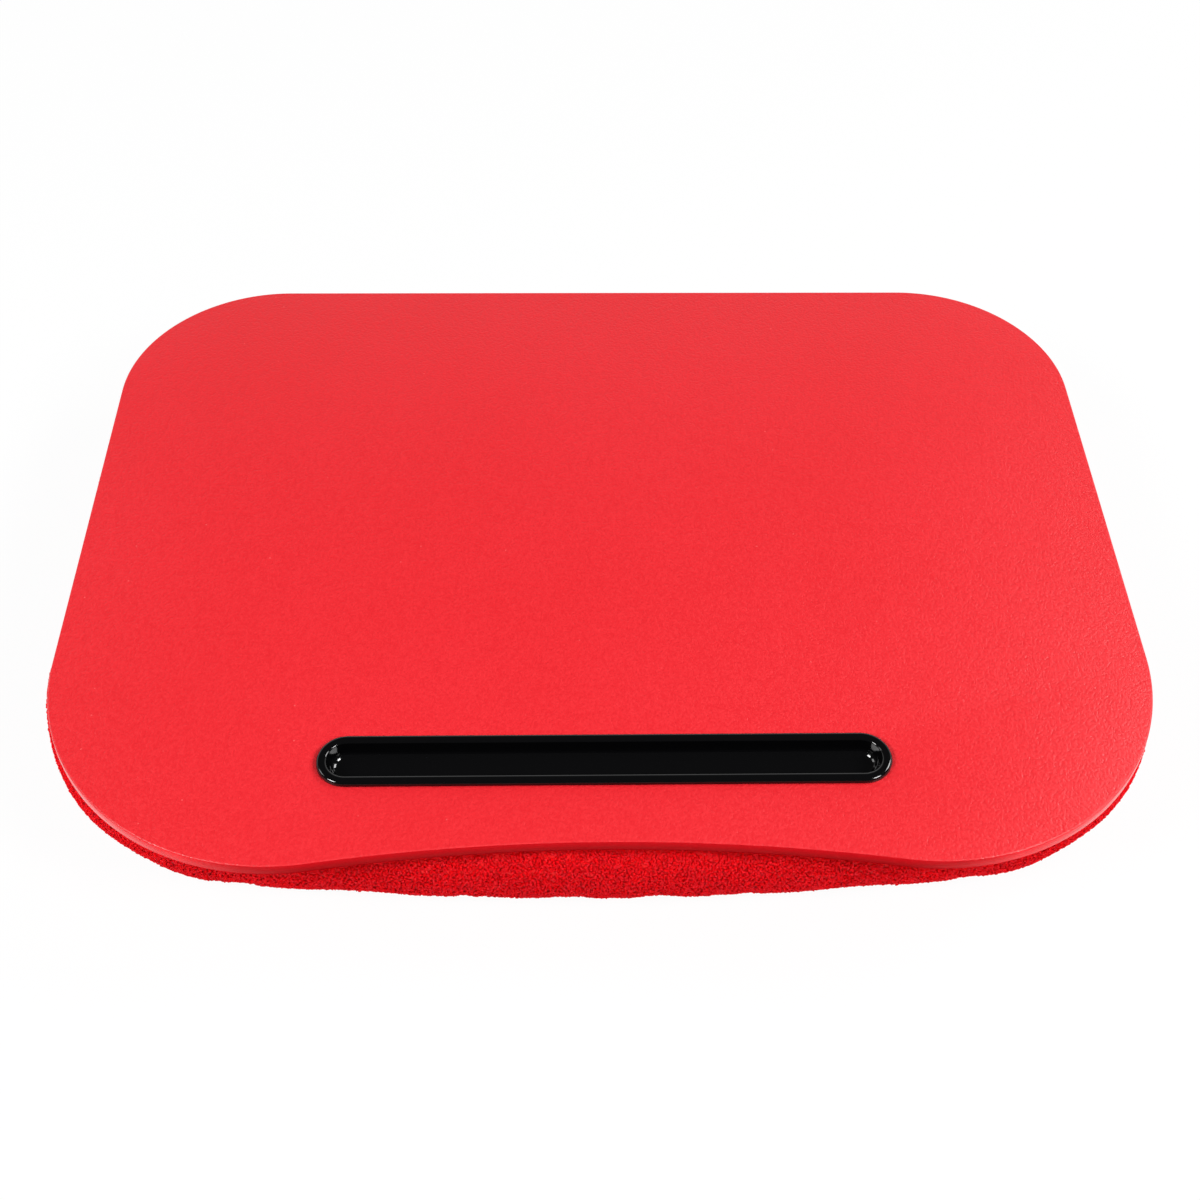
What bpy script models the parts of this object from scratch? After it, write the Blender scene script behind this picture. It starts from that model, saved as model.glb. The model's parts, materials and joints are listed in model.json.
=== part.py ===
"""Laptop tray: a painted deck board with a moulded pen tray, held by hook-and-loop patches on a
bead-filled plush cushion whose cover closes with a zip along its back.

Metres, +Z up. The tray stands on z = 0, its front faces -Y and the origin lies under its middle.
"""

import math

import bmesh
import bpy
from mathutils import Vector

MM = 0.001

# Fits: the gap between pieces that touch, and how far a cutter runs past what it cuts
SEAT_GAP = 0.3 * MM
OVERRUN = 2 * MM

# Deck board, measured in plan at its widest, with a shallow hollow in the front edge
BOARD_WIDTH = 400 * MM
BOARD_DEPTH = 300 * MM
BOARD_THICKNESS = 5.5 * MM
BOARD_BACK_RADIUS = 64.5 * MM
BOARD_FRONT_RADIUS = 87 * MM
BOARD_FRONT_HOLLOW = 8.6 * MM
BOARD_ARRIS = 0.8 * MM

# Pen tray, a drafted trough hanging in the board from a rolled rim
PEN_TRAY_LENGTH = 200 * MM
PEN_TRAY_WIDTH = 21 * MM
PEN_TRAY_FROM_FRONT = 42.1 * MM
PEN_RIM_WIDTH = 3.6 * MM
PEN_RIM_HEIGHT = 2.1 * MM
PEN_RIM_CREST = 0.65 * MM
PEN_RIM_LIP = 0.45 * MM
PEN_WALL = 1.2 * MM
PEN_TRAY_DROP = 0.6 * MM
PEN_FLOOR_FILLET = 1.8 * MM
PEN_DRAFT = math.radians(5)

# Hook-and-loop patches, one pair near each corner
PATCH_LENGTH = 50 * MM
PATCH_WIDTH = 25 * MM
PATCH_RADIUS = 4 * MM
PATCH_FROM_SIDE = 75 * MM
PATCH_FROM_BACK = 75 * MM
PATCH_FROM_FRONT = 85 * MM
HOOK_THICKNESS = 0.8 * MM
LOOP_THICKNESS = 0.8 * MM

# Cushion: its plan at the widest level, and its crowned section
CUSHION_WIDTH = 417 * MM
CUSHION_FRONT_SETBACK = 14.5 * MM
CUSHION_FRONT_BOW = 6.5 * MM
CUSHION_BACK_SETBACK = 12 * MM
CUSHION_SIDE_DRAW = 2 * MM
CUSHION_CORNER_RADIUS = 86.5 * MM
CUSHION_HEIGHT = 42 * MM
TOP_CROWN = 1 * MM
TOP_CROWN_REACH = 25 * MM
BOTTOM_CROWN = 3 * MM
BOTTOM_CROWN_REACH = 60 * MM
BOTTOM_FLAT_CUT = 0.5 * MM
COVER_THICKNESS = 3 * MM
COVER_RETURN = 14 * MM
LINER_THICKNESS = 0.6 * MM

# Zip in the back of the cover: sizes across the chain are half sizes from its centre line
ZIP_CHAIN_LENGTH = 208 * MM
ZIP_TOOTH_PITCH = 3.2 * MM
ZIP_SLOT_PAST_CHAIN = 15 * MM
ZIP_SLOT_BESIDE_SLIDER = 1 * MM
ZIP_TAPE_THICKNESS = 0.6 * MM
ZIP_TAPE_EDGE = 2 * MM
ZIP_TAPE_HALF_WIDTH = 12 * MM
ZIP_TAPE_TAIL = 2 * MM
ZIP_TOOTH_THICKNESS = 2.4 * MM
ZIP_SPINE_WIDTH = 0.7 * MM
ZIP_TOOTH_NECK = 0.45 * MM
ZIP_TOOTH_TIP = 0.35 * MM
ZIP_TOOTH_PLAY = 0.36 * MM
ZIP_STOP_LENGTH = 3 * MM
SLIDER_LENGTH = 11 * MM
SLIDER_HALF_NOSE = 4.5 * MM
SLIDER_HALF_TAIL = 3.4 * MM
SLIDER_PLATE = 1.1 * MM
SLIDER_FLANGE = 0.8 * MM
SLIDER_POST_LENGTH = 2.2 * MM
SLIDER_POST_INSET = 0.4 * MM
SLIDER_POST_HALF_WIDTH = 0.55 * MM
BAIL_HALF_WIDTH = 0.8 * MM
BAIL_HALF_SPAN = 1.6 * MM
BAIL_HEIGHT = 2 * MM
BAIL_THICKNESS = 0.7 * MM
PULL_LENGTH = 20 * MM
PULL_HALF_WIDTH = 2.9 * MM
PULL_THICKNESS = 0.9 * MM
PULL_EYE_LENGTH = 4.2 * MM
PULL_EYE_PLAY = 0.5 * MM

# Facets of the round stretches: each corner, the bowed front and the sides
BOARD_STEPS = (12, 10, 1)
PATCH_STEPS = (3, 1, 1)
CUSHION_STEPS = (7, 6, 3)
NOSE_STEPS = 8
ARRIS_STEPS = 3
STADIUM_STEPS = 16
FILLET_STEPS = 4
TAPE_STEPS = 5

# Where the rings of the crowned underside lie, as shares of the way in to its flat middle
UNDER_RING_SHARES = (1, 0.7, 0.35)

# Levels that follow from those sizes
NOSE_RADIUS = (CUSHION_HEIGHT - TOP_CROWN - BOTTOM_CROWN) / 2
NOSE_LEVEL = BOTTOM_CROWN + NOSE_RADIUS
LOOP_LEVEL = CUSHION_HEIGHT + SEAT_GAP
BOARD_LEVEL = LOOP_LEVEL + LOOP_THICKNESS + SEAT_GAP + HOOK_THICKNESS + SEAT_GAP
PEN_TRAY_Y = PEN_TRAY_FROM_FRONT - BOARD_DEPTH / 2
CUSHION_BACK = BOARD_DEPTH / 2 - CUSHION_BACK_SETBACK
ZIP_SLOT_LENGTH = ZIP_CHAIN_LENGTH + 2 * ZIP_SLOT_PAST_CHAIN
ZIP_SLOT_HALF_HEIGHT = SLIDER_HALF_NOSE + ZIP_SLOT_BESIDE_SLIDER


def material(name, colour, roughness, metallic=0.0):
    """A Principled material in linear colour."""
    made = bpy.data.materials.new(name)
    made.use_nodes = True
    shader = made.node_tree.nodes["Principled BSDF"]
    shader.inputs["Base Color"].default_value = (*colour, 1.0)
    shader.inputs["Roughness"].default_value = roughness
    shader.inputs["Metallic"].default_value = metallic
    made.diffuse_color = (*colour, 1.0)
    return made


def skin(name, rings, look=None, place=(0, 0, 0), parent=None):
    """One closed object whose sides join rings of equally many points, and whose ends are capped."""
    work = bmesh.new()
    rows = [[work.verts.new(point) for point in ring] for ring in rings]
    for low, high in zip(rows, rows[1:]):
        for i in range(len(low)):
            j = (i + 1) % len(low)
            work.faces.new((low[i], low[j], high[j], high[i]))
    work.faces.new(list(reversed(rows[0])))
    work.faces.new(rows[-1])
    bmesh.ops.recalc_face_normals(work, faces=work.faces)
    mesh = bpy.data.meshes.new(name)
    work.to_mesh(mesh)
    work.free()
    mesh.shade_smooth()
    mesh.set_sharp_from_angle(angle=math.radians(35))
    made = bpy.data.objects.new(name, mesh)
    bpy.context.scene.collection.objects.link(made)
    made.location = place
    made.parent = parent
    if look:
        mesh.materials.append(look)
    return made


def helper(name, rings, place=(0, 0, 0), parent=None):
    """A solid that only shapes another one."""
    made = skin(name, rings, place=place, parent=parent)
    made.hide_render = True
    made.display_type = "WIRE"
    return made


def shape_with(target, other, operation):
    """Cuts or joins another solid by an exact Boolean."""
    boolean = target.modifiers.new(other.name, "BOOLEAN")
    boolean.operation = operation
    boolean.solver = "EXACT"
    boolean.object = other


def joint_frame(name, place, parent=None):
    """An empty on a joint's axis, which carries the pieces that move on it."""
    made = bpy.data.objects.new(name, None)
    bpy.context.scene.collection.objects.link(made)
    made.location = place
    made.parent = parent
    return made


def direction(angle):
    return Vector((math.cos(angle), math.sin(angle)))


def arc(centre, radius, start, end, steps):
    """Points and outward normals along an arc. A negative radius bends a hollow edge."""
    found = []
    for i in range(steps + 1):
        normal = direction(start + (end - start) * i / steps)
        found.append((centre + radius * normal, normal))
    return found


def edge_circle(a, b, radius, rise, facing):
    """Centre and signed radius of the circle that joins corner circles a and b and stands out from
    their common tangent by rise, with the outward normal's angles where it meets them."""
    half_span = (b - a).length / 2
    edge_radius = radius + (half_span * half_span + rise * rise) / (2 * rise)
    outward = direction(facing)
    centre = (a + b) / 2 + outward * (radius + rise - edge_radius)
    turn = math.asin(half_span / (edge_radius - radius))
    return centre, edge_radius, facing - turn, facing + turn


def rounded_plan(width, front, back, front_radius, back_radius, steps, front_rise=0, side_rise=0):
    """A rounded outline, anticlockwise from the right, whose front and sides can bow out or in.
    Each entry is a point and its outward normal. Bowed sides need two equal radii."""
    corner_steps, front_steps, side_steps = steps
    right, left = width / 2, -width / 2
    corners = (
        (Vector((right - back_radius, back - back_radius)), back_radius),
        (Vector((left + back_radius, back - back_radius)), back_radius),
        (Vector((left + front_radius, front + front_radius)), front_radius),
        (Vector((right - front_radius, front + front_radius)), front_radius),
    )
    rises = (0, side_rise, front_rise, side_rise)
    edge_steps = (1, side_steps, front_steps, side_steps)
    edges = []
    for i, rise in enumerate(rises):
        facing = math.pi / 2 * (i + 1)
        (a, radius), (b, _) = corners[i], corners[(i + 1) % 4]
        edges.append(edge_circle(a, b, radius, rise, facing) if rise else (None, 0, facing, facing))
    found = []
    for i, (centre, radius) in enumerate(corners):
        start, end = edges[i - 1][3], edges[i][2]
        if i == 0:
            start -= 2 * math.pi
        found += arc(centre, radius, start, end, corner_steps)
        edge_centre, edge_radius, edge_start, edge_end = edges[i]
        if edge_centre:
            found += arc(edge_centre, edge_radius, edge_start, edge_end, edge_steps[i])[1:-1]
    return found


def stadium(length, width):
    """A slot's outline, with round ends, as points and outward normals."""
    radius = width / 2
    reach = length / 2 - radius
    half_turn = math.pi / 2
    return arc(Vector((reach, 0)), radius, -half_turn, half_turn, STADIUM_STEPS) + arc(
        Vector((-reach, 0)), radius, half_turn, 3 * half_turn, STADIUM_STEPS
    )


def ring(plan, inset, level):
    """The outline drawn in by inset, at a level."""
    return [(*(point - normal * inset), level) for point, normal in plan]


def rounded_slab(plan, low, high, arris):
    """Rings of a slab whose two edges are rounded."""
    quarter = [math.pi / 2 * i / ARRIS_STEPS for i in range(ARRIS_STEPS + 1)]
    rise = [(arris * (1 - math.sin(a)), low + arris * (1 - math.cos(a))) for a in quarter]
    fall = [(inset, low + high - level) for inset, level in reversed(rise)]
    return [ring(plan, inset, level) for inset, level in rise + fall]


def fillet(centre_inset, centre_level, radius, start, end, steps):
    """Points of a round in a section of inset and level."""
    angles = [start + (end - start) * i / steps for i in range(steps + 1)]
    return [(centre_inset + radius * math.cos(a), centre_level + radius * math.sin(a)) for a in angles]


# Deck


def board_plan():
    half = BOARD_DEPTH / 2
    return rounded_plan(
        BOARD_WIDTH,
        -half,
        half,
        BOARD_FRONT_RADIUS,
        BOARD_BACK_RADIUS,
        BOARD_STEPS,
        front_rise=-BOARD_FRONT_HOLLOW,
    )


def make_deck_board(look, frame):
    rings = rounded_slab(board_plan(), 0, BOARD_THICKNESS, BOARD_ARRIS)
    board = skin("deck_board", rings, look, parent=frame)
    rim_cover = PEN_RIM_WIDTH - PEN_WALL - SEAT_GAP
    slot = stadium(PEN_TRAY_LENGTH - 2 * rim_cover, PEN_TRAY_WIDTH - 2 * rim_cover)
    rings = [ring(slot, 0, z) for z in (-OVERRUN, BOARD_THICKNESS + OVERRUN)]
    shape_with(board, helper("pen_slot_cutter", rings, (0, PEN_TRAY_Y, 0), frame), "DIFFERENCE")


def pen_tray_section():
    """The tray's section as inset from its edge and level above the board, from the middle of the
    trough over the rim to the middle of the underside."""
    slope = math.tan(PEN_DRAFT)
    lean = PEN_DRAFT
    floor = PEN_WALL - PEN_TRAY_DROP - BOARD_THICKNESS
    wall_foot = PEN_RIM_WIDTH + (PEN_RIM_HEIGHT - floor) * slope
    # The drafted wall pushes the centre of the floor's fillet in by its own lean
    reach = PEN_FLOOR_FILLET * math.tan(math.pi / 4 - lean / 2)
    inner_turn = wall_foot + reach
    trough = fillet(
        inner_turn, floor + PEN_FLOOR_FILLET, PEN_FLOOR_FILLET, -math.pi / 2, -math.pi + lean, FILLET_STEPS
    )
    lip = fillet(
        PEN_RIM_WIDTH - PEN_RIM_LIP, PEN_RIM_HEIGHT - PEN_RIM_LIP, PEN_RIM_LIP, 0, math.pi / 2, FILLET_STEPS - 1
    )
    crown = PEN_RIM_HEIGHT - SEAT_GAP
    shoulder = PEN_RIM_WIDTH - PEN_RIM_LIP - PEN_RIM_CREST
    roll = []
    for i in range(FILLET_STEPS + 2):
        turn = math.pi / 2 * (1 - i / (FILLET_STEPS + 1))
        roll.append((shoulder * (1 - math.cos(turn)), SEAT_GAP + crown * math.sin(turn)))
    skirt = PEN_RIM_WIDTH - PEN_WALL
    outer_radius = PEN_FLOOR_FILLET + PEN_WALL
    under = fillet(
        inner_turn, floor + PEN_FLOOR_FILLET, outer_radius, -math.pi + lean, -math.pi / 2, FILLET_STEPS
    )
    return trough + lip + roll + [(skirt, SEAT_GAP)] + under


def make_pen_tray(look, frame):
    plan = stadium(PEN_TRAY_LENGTH, PEN_TRAY_WIDTH)
    rings = [ring(plan, inset, level) for inset, level in pen_tray_section()]
    skin("pen_tray", rings, look, parent=frame)


def patch_places():
    """Name and plan position of each pair of patches."""
    x = BOARD_WIDTH / 2 - PATCH_FROM_SIDE
    rows = (("back", BOARD_DEPTH / 2 - PATCH_FROM_BACK), ("front", PATCH_FROM_FRONT - BOARD_DEPTH / 2))
    for row, y in rows:
        for side, sign in (("left", -1), ("right", 1)):
            yield f"{row}_{side}", sign * x, y


def make_patches(kind, level, thickness, look, frame=None):
    half = PATCH_WIDTH / 2
    plan = rounded_plan(PATCH_LENGTH, -half, half, PATCH_RADIUS, PATCH_RADIUS, PATCH_STEPS)
    rings = [ring(plan, 0, z) for z in (0, thickness)]
    for corner, x, y in patch_places():
        skin(f"{kind}_patch_{corner}", rings, look, (x, y, level), frame)


# Cushion


def nose_plan(back_ease=0.0):
    """The line of the nose's centre round the cushion, with the back drawn in by the ease."""
    widest = rounded_plan(
        CUSHION_WIDTH,
        CUSHION_FRONT_SETBACK - BOARD_DEPTH / 2,
        CUSHION_BACK - back_ease,
        CUSHION_CORNER_RADIUS,
        CUSHION_CORNER_RADIUS,
        CUSHION_STEPS,
        front_rise=CUSHION_FRONT_BOW,
        side_rise=-CUSHION_SIDE_DRAW,
    )
    return [(point - normal * NOSE_RADIUS, normal) for point, normal in widest]


def nose_ring(plan, depth, angle):
    """The ring at an angle of the rounded nose, on the surface at that depth below the outside."""
    radius = NOSE_RADIUS - depth
    return ring(plan, -radius * math.cos(angle), NOSE_LEVEL + radius * math.sin(angle))


def under_rings(plan, depth):
    """Rings of the crowned underside, from its flat middle to the nose."""
    swing = BOTTOM_CROWN + BOTTOM_FLAT_CUT
    flat_turn = math.acos(2 * BOTTOM_FLAT_CUT / swing - 1)
    found = []
    for share in UNDER_RING_SHARES:
        turn = flat_turn * share
        level = swing * (1 + math.cos(turn)) / 2 - BOTTOM_FLAT_CUT
        found.append(ring(plan, BOTTOM_CROWN_REACH * turn / math.pi, level + depth))
    return found


def nose_rings(plan, depth, start=-90, end=90):
    """Rings round the nose between two angles in degrees."""
    steps = round(NOSE_STEPS * (end - start) / 180)
    turns = [start + (end - start) * i / steps for i in range(steps + 1)]
    return [nose_ring(plan, depth, math.radians(turn)) for turn in turns]


def top_ring(plan, depth, inset):
    """A ring of the crowned top, at an inset from the nose's centre line."""
    turn = math.pi * min(inset / TOP_CROWN_REACH, 1)
    crown = TOP_CROWN * (1 - math.cos(turn)) / 2
    return ring(plan, inset, CUSHION_HEIGHT - TOP_CROWN + crown - depth)


def make_plush_cover(look):
    """A bowl with its edge turned in over the top, slotted at the back for the zip."""
    plan = nose_plan()
    seam = (COVER_RETURN / 2, COVER_RETURN)

    def surface(depth):
        turned_in = [top_ring(plan, depth, inset) for inset in seam]
        return under_rings(plan, depth) + nose_rings(plan, depth) + turned_in

    rings = surface(0) + list(reversed(surface(COVER_THICKNESS)))
    cover = skin("plush_cover", rings, look)
    slot = stadium(ZIP_SLOT_LENGTH, 2 * ZIP_SLOT_HALF_HEIGHT)
    faces = (zip_arc_centre(), CUSHION_BACK + OVERRUN)
    rings = [[(point.x, y, NOSE_LEVEL + point.y) for point, _ in slot] for y in faces]
    shape_with(cover, helper("zip_slot_cutter", rings), "DIFFERENCE")


def make_top_panel(look):
    plan = nose_plan()
    edge = COVER_RETURN + SEAT_GAP
    outside = [top_ring(plan, 0, inset) for inset in (TOP_CROWN_REACH, edge)]
    inside = [top_ring(plan, COVER_THICKNESS, inset) for inset in (edge, TOP_CROWN_REACH)]
    skin("cushion_top_panel", outside + inside, look)


def liner_depth():
    """The bead bag's outside, below the cushion's."""
    return COVER_THICKNESS + SEAT_GAP


def liner_plan():
    """The nose's centre line for the bead bag, whose back leaves room for the slider's inner plate."""
    room = chain_level() - slider_levels()[1] - SEAT_GAP
    return nose_plan(CUSHION_BACK - liner_depth() - room)


def make_liner(look):
    """The bead bag's two panels, open to each other along their seam."""
    plan = liner_plan()
    outer = liner_depth()
    inner = outer + LINER_THICKNESS

    def seam_moved(rings, index, shift):
        rings[index] = [(x, y, z + shift) for x, y, z in rings[index]]
        return rings

    def lower(depth):
        return seam_moved(under_rings(plan, depth) + nose_rings(plan, depth, -90, 0), -1, -SEAT_GAP / 2)

    def upper(depth):
        top = [top_ring(plan, depth, TOP_CROWN_REACH)]
        return seam_moved(nose_rings(plan, depth, 0, 90) + top, 0, SEAT_GAP / 2)

    skin("liner_lower_panel", lower(outer) + list(reversed(lower(inner))), look)
    skin("liner_upper_panel", list(reversed(upper(outer))) + upper(inner), look)


def make_filling(look):
    plan = liner_plan()
    depth = liner_depth() + LINER_THICKNESS + SEAT_GAP
    rings = under_rings(plan, depth) + nose_rings(plan, depth) + [top_ring(plan, depth, TOP_CROWN_REACH)]
    skin("bead_filling", rings, look)


# Zip


def tape_reach():
    """Half the length of the tapes."""
    return ZIP_SLOT_LENGTH / 2 + ZIP_TAPE_TAIL


def zip_arc_centre():
    """The centre of the cover's rounded back along Y, taken where the tapes end, so that a tape which
    reaches into the corners still clears them."""
    reach = tape_reach()
    corner = [point for point, _ in nose_plan()][: CUSHION_STEPS[0] + 1]
    for a, b in zip(corner, corner[1:]):
        if b.x < reach <= a.x:
            return a.y + (b.y - a.y) * (a.x - reach) / (a.x - b.x)
    return CUSHION_BACK - NOSE_RADIUS


def tape_radius():
    """The tapes' outer face, just inside the flats of the cover's faceted inside."""
    return (NOSE_RADIUS - COVER_THICKNESS) * math.cos(math.pi / (2 * NOSE_STEPS)) - SEAT_GAP


def chain_level():
    """The middle of the chain's thickness, along Y: that of the tapes where they meet."""
    return zip_arc_centre() + tape_radius() - ZIP_TAPE_THICKNESS / 2


def chain_end():
    """Where the closed slider's nose stands. The chain starts as far on the other side."""
    return ZIP_CHAIN_LENGTH / 2


def along_y(points, low, high):
    """A flat outline in X and Z, drawn out between two levels of Y."""
    return [[(x, y, z) for x, z in points] for y in (low, high)]


def block(x_range, y_range, z_range):
    corners = [(x_range[0], z_range[0]), (x_range[1], z_range[0])]
    corners += [(x_range[1], z_range[1]), (x_range[0], z_range[1])]
    return along_y(corners, *y_range)


def make_tape(name, side, look):
    """A strip that follows the inside of the cover, above or below the chain."""
    outer = tape_radius()
    inner = outer - ZIP_TAPE_THICKNESS
    start, end = math.asin(ZIP_TAPE_EDGE / inner), ZIP_TAPE_HALF_WIDTH / outer
    turns = [start + (end - start) * i / TAPE_STEPS for i in range(TAPE_STEPS + 1)]
    section = [(outer, turn) for turn in turns] + [(inner, turn) for turn in reversed(turns)]
    rings = []
    for x in (-tape_reach(), tape_reach()):
        rings.append([(x, r * math.cos(t), side * r * math.sin(t)) for r, t in section])
    skin(name, rings, look, (0, zip_arc_centre(), NOSE_LEVEL))


def make_teeth(name, side, shift, look):
    """A row of moulded teeth on a spine beside the tape's edge, reaching past the centre line."""
    spine_edge = ZIP_TAPE_EDGE - SEAT_GAP
    spine = spine_edge - ZIP_SPINE_WIDTH
    tip = -(spine - SEAT_GAP)
    head = (ZIP_TOOTH_PITCH / 2 - ZIP_TOOTH_PLAY) / 2
    shoulder = tip + head
    start = -chain_end()
    room = ZIP_CHAIN_LENGTH - SLIDER_POST_INSET - SLIDER_POST_LENGTH - SEAT_GAP
    count = int((room - ZIP_TOOTH_PITCH / 2) / ZIP_TOOTH_PITCH)
    outline = [(start, spine_edge), (start, spine)]
    for i in range(count):
        x = start + ZIP_TOOTH_PITCH * (i + shift)
        outline += [(x - ZIP_TOOTH_NECK, spine), (x - head, shoulder), (x - ZIP_TOOTH_TIP, tip)]
        outline += [(x + ZIP_TOOTH_TIP, tip), (x + head, shoulder), (x + ZIP_TOOTH_NECK, spine)]
    end = start + ZIP_TOOTH_PITCH * (count + 1 / 2)
    outline += [(end, spine), (end, spine_edge)]
    half = ZIP_TOOTH_THICKNESS / 2
    rings = along_y([(x, side * z) for x, z in outline], -half, half)
    skin(name, rings, look, (0, chain_level(), NOSE_LEVEL))


def make_stops(look):
    """A box across both rows where the zip opens to, and one small stop on each tape at the other end."""
    place = (0, chain_level(), NOSE_LEVEL)
    half = ZIP_TOOTH_THICKNESS / 2
    edge = ZIP_TAPE_EDGE - SEAT_GAP
    start = -chain_end() - SEAT_GAP
    box = block((start - ZIP_STOP_LENGTH, start), (-half, half), (-edge, edge))
    skin("zip_bottom_stop", box, look, place)
    x = chain_end() + SEAT_GAP
    for name, side in (("upper", 1), ("lower", -1)):
        levels = sorted((side * (edge - ZIP_SPINE_WIDTH), side * edge))
        stop = block((x, x + ZIP_STOP_LENGTH), (-half, half), levels)
        skin(f"zip_top_stop_{name}", stop, look, place)


def slider_levels():
    """Levels from the chain's middle, along Y, of the faces of the slider's plates."""
    inner_face = ZIP_TOOTH_THICKNESS / 2 + SEAT_GAP
    return inner_face, inner_face + SLIDER_PLATE


def make_slider(look, frame):
    """Two plates over the chain, joined by a post at the nose, with flanges and a bail for the pull."""
    face, outside = slider_levels()
    tail = -SLIDER_LENGTH
    shoulder = -SLIDER_LENGTH / 3
    plate = [(tail, -SLIDER_HALF_TAIL), (shoulder, -SLIDER_HALF_NOSE), (0, -SLIDER_HALF_NOSE)]
    plate += [(x, -z) for x, z in reversed(plate)]
    body = skin("zip_slider", along_y(plate, face, outside), look, parent=frame)
    under = helper("slider_inner_plate", along_y(plate, -outside, -face), parent=frame)
    bite = SLIDER_PLATE / 2
    post_x = (-SLIDER_POST_INSET - SLIDER_POST_LENGTH, -SLIDER_POST_INSET)
    post_z = (-SLIDER_POST_HALF_WIDTH, SLIDER_POST_HALF_WIDTH)
    post = helper("slider_post", block(post_x, (-face - bite, face + bite), post_z), parent=frame)
    joined = [under, post, helper("slider_bail", bail_rings(outside, bite), parent=frame)]
    rim = SLIDER_FLANGE / 4
    for name, side in (("upper", 1), ("lower", -1)):
        levels = sorted((side * (SLIDER_HALF_NOSE - SLIDER_FLANGE), side * (SLIDER_HALF_NOSE - rim)))
        flange = block((shoulder + rim, -rim), (face - SLIDER_FLANGE, face + bite), levels)
        joined.append(helper(f"slider_flange_{name}", flange, parent=frame))
    for piece in joined:
        shape_with(body, piece, "UNION")


def bail_x():
    """The middle of the bail, from the slider's nose."""
    return -SLIDER_LENGTH / 2


def bail_rings(outside, bite):
    """An arch over the outer plate, drawn out across the slider and sunk into the plate by its feet."""
    x = bail_x()
    arch = []
    for grown in (BAIL_THICKNESS, 0):
        span, height = BAIL_HALF_SPAN + grown, BAIL_HEIGHT + grown
        haunch, crown = height - BAIL_THICKNESS, span - BAIL_THICKNESS
        half_arch = [(-span, -bite), (-span, haunch), (-crown, height)]
        side = half_arch + [(-across, up) for across, up in reversed(half_arch)]
        arch.append([(x + across, outside + up) for across, up in side])
    outline = arch[0] + list(reversed(arch[1]))
    return [[(across, up, z) for across, up in outline] for z in (-BAIL_HALF_WIDTH, BAIL_HALF_WIDTH)]


def pull_level():
    """The pull's hinge axis, from the chain's middle along Y: half way up the bail's opening."""
    return slider_levels()[1] + BAIL_HEIGHT / 2


def make_pull(look, frame):
    """A tab whose end bar turns in the bail: it lies back along the closed chain."""
    half = PULL_THICKNESS / 2
    eye_end = -half - PULL_EYE_LENGTH
    half_eye = BAIL_HALF_WIDTH + PULL_EYE_PLAY
    neck = half_eye + PULL_THICKNESS
    tip = half - PULL_LENGTH
    round_off = PULL_HALF_WIDTH / 2
    outline = [(half, neck), (eye_end, neck), (eye_end - round_off, PULL_HALF_WIDTH)]
    outline += [(tip + round_off, PULL_HALF_WIDTH), (tip, PULL_HALF_WIDTH - round_off)]
    outline += [(x, -z) for x, z in reversed(outline)]
    pull = skin("zip_pull", along_y(outline, -half, half), look, parent=frame)
    eye = block((eye_end, -half), (-PULL_THICKNESS, PULL_THICKNESS), (-half_eye, half_eye))
    shape_with(pull, helper("pull_eye_cutter", eye, parent=frame), "DIFFERENCE")


def main():
    for old in list(bpy.data.objects):
        bpy.data.objects.remove(old, do_unlink=True)

    red_paint = material("red_paint", (0.80, 0.035, 0.045), 0.45)
    black_gloss = material("black_gloss", (0.004, 0.004, 0.004), 0.12)
    black_tape = material("black_tape", (0.012, 0.012, 0.013), 0.9)
    red_plush = material("red_plush", (0.62, 0.012, 0.022), 0.95)
    red_cloth = material("red_cloth", (0.42, 0.012, 0.02), 0.9)
    white_cloth = material("white_cloth", (0.78, 0.78, 0.76), 0.9)
    white_beads = material("white_beads", (0.85, 0.85, 0.85), 0.7)
    red_tape = material("red_tape", (0.45, 0.01, 0.02), 0.85)
    red_teeth = material("red_teeth", (0.5, 0.012, 0.02), 0.4)
    zinc = material("zinc", (0.62, 0.62, 0.63), 0.3, 1.0)

    deck_frame = joint_frame("deck_lift", (0, 0, BOARD_LEVEL))
    make_deck_board(red_paint, deck_frame)
    make_patches("hook", -SEAT_GAP - HOOK_THICKNESS, HOOK_THICKNESS, black_tape, deck_frame)
    tray_frame = joint_frame("pen_tray_lift", (0, PEN_TRAY_Y, BOARD_THICKNESS), deck_frame)
    make_pen_tray(black_gloss, tray_frame)
    make_patches("loop", LOOP_LEVEL, LOOP_THICKNESS, black_tape)

    make_plush_cover(red_plush)
    make_top_panel(red_cloth)
    make_liner(white_cloth)
    make_filling(white_beads)

    make_tape("zip_tape_upper", 1, red_tape)
    make_tape("zip_tape_lower", -1, red_tape)
    make_teeth("zip_teeth_upper", 1, 0.5, red_teeth)
    make_teeth("zip_teeth_lower", -1, 1, red_teeth)
    make_stops(zinc)

    slider_frame = joint_frame("zip_slide", (chain_end(), chain_level(), NOSE_LEVEL))
    make_slider(zinc, slider_frame)
    make_pull(zinc, joint_frame("zip_pull_hinge", (bail_x(), pull_level(), 0), slider_frame))


main()
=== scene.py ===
# The looks of the laptop tray: a lacquered board with a moulded pen tray, hook-and-loop patches, and
# a plush cushion with its bead bag and zip. Metres, +Z up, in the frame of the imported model.
import json
import math

import bmesh
import bpy
import numpy as np
from mathutils import Matrix, Vector

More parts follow.
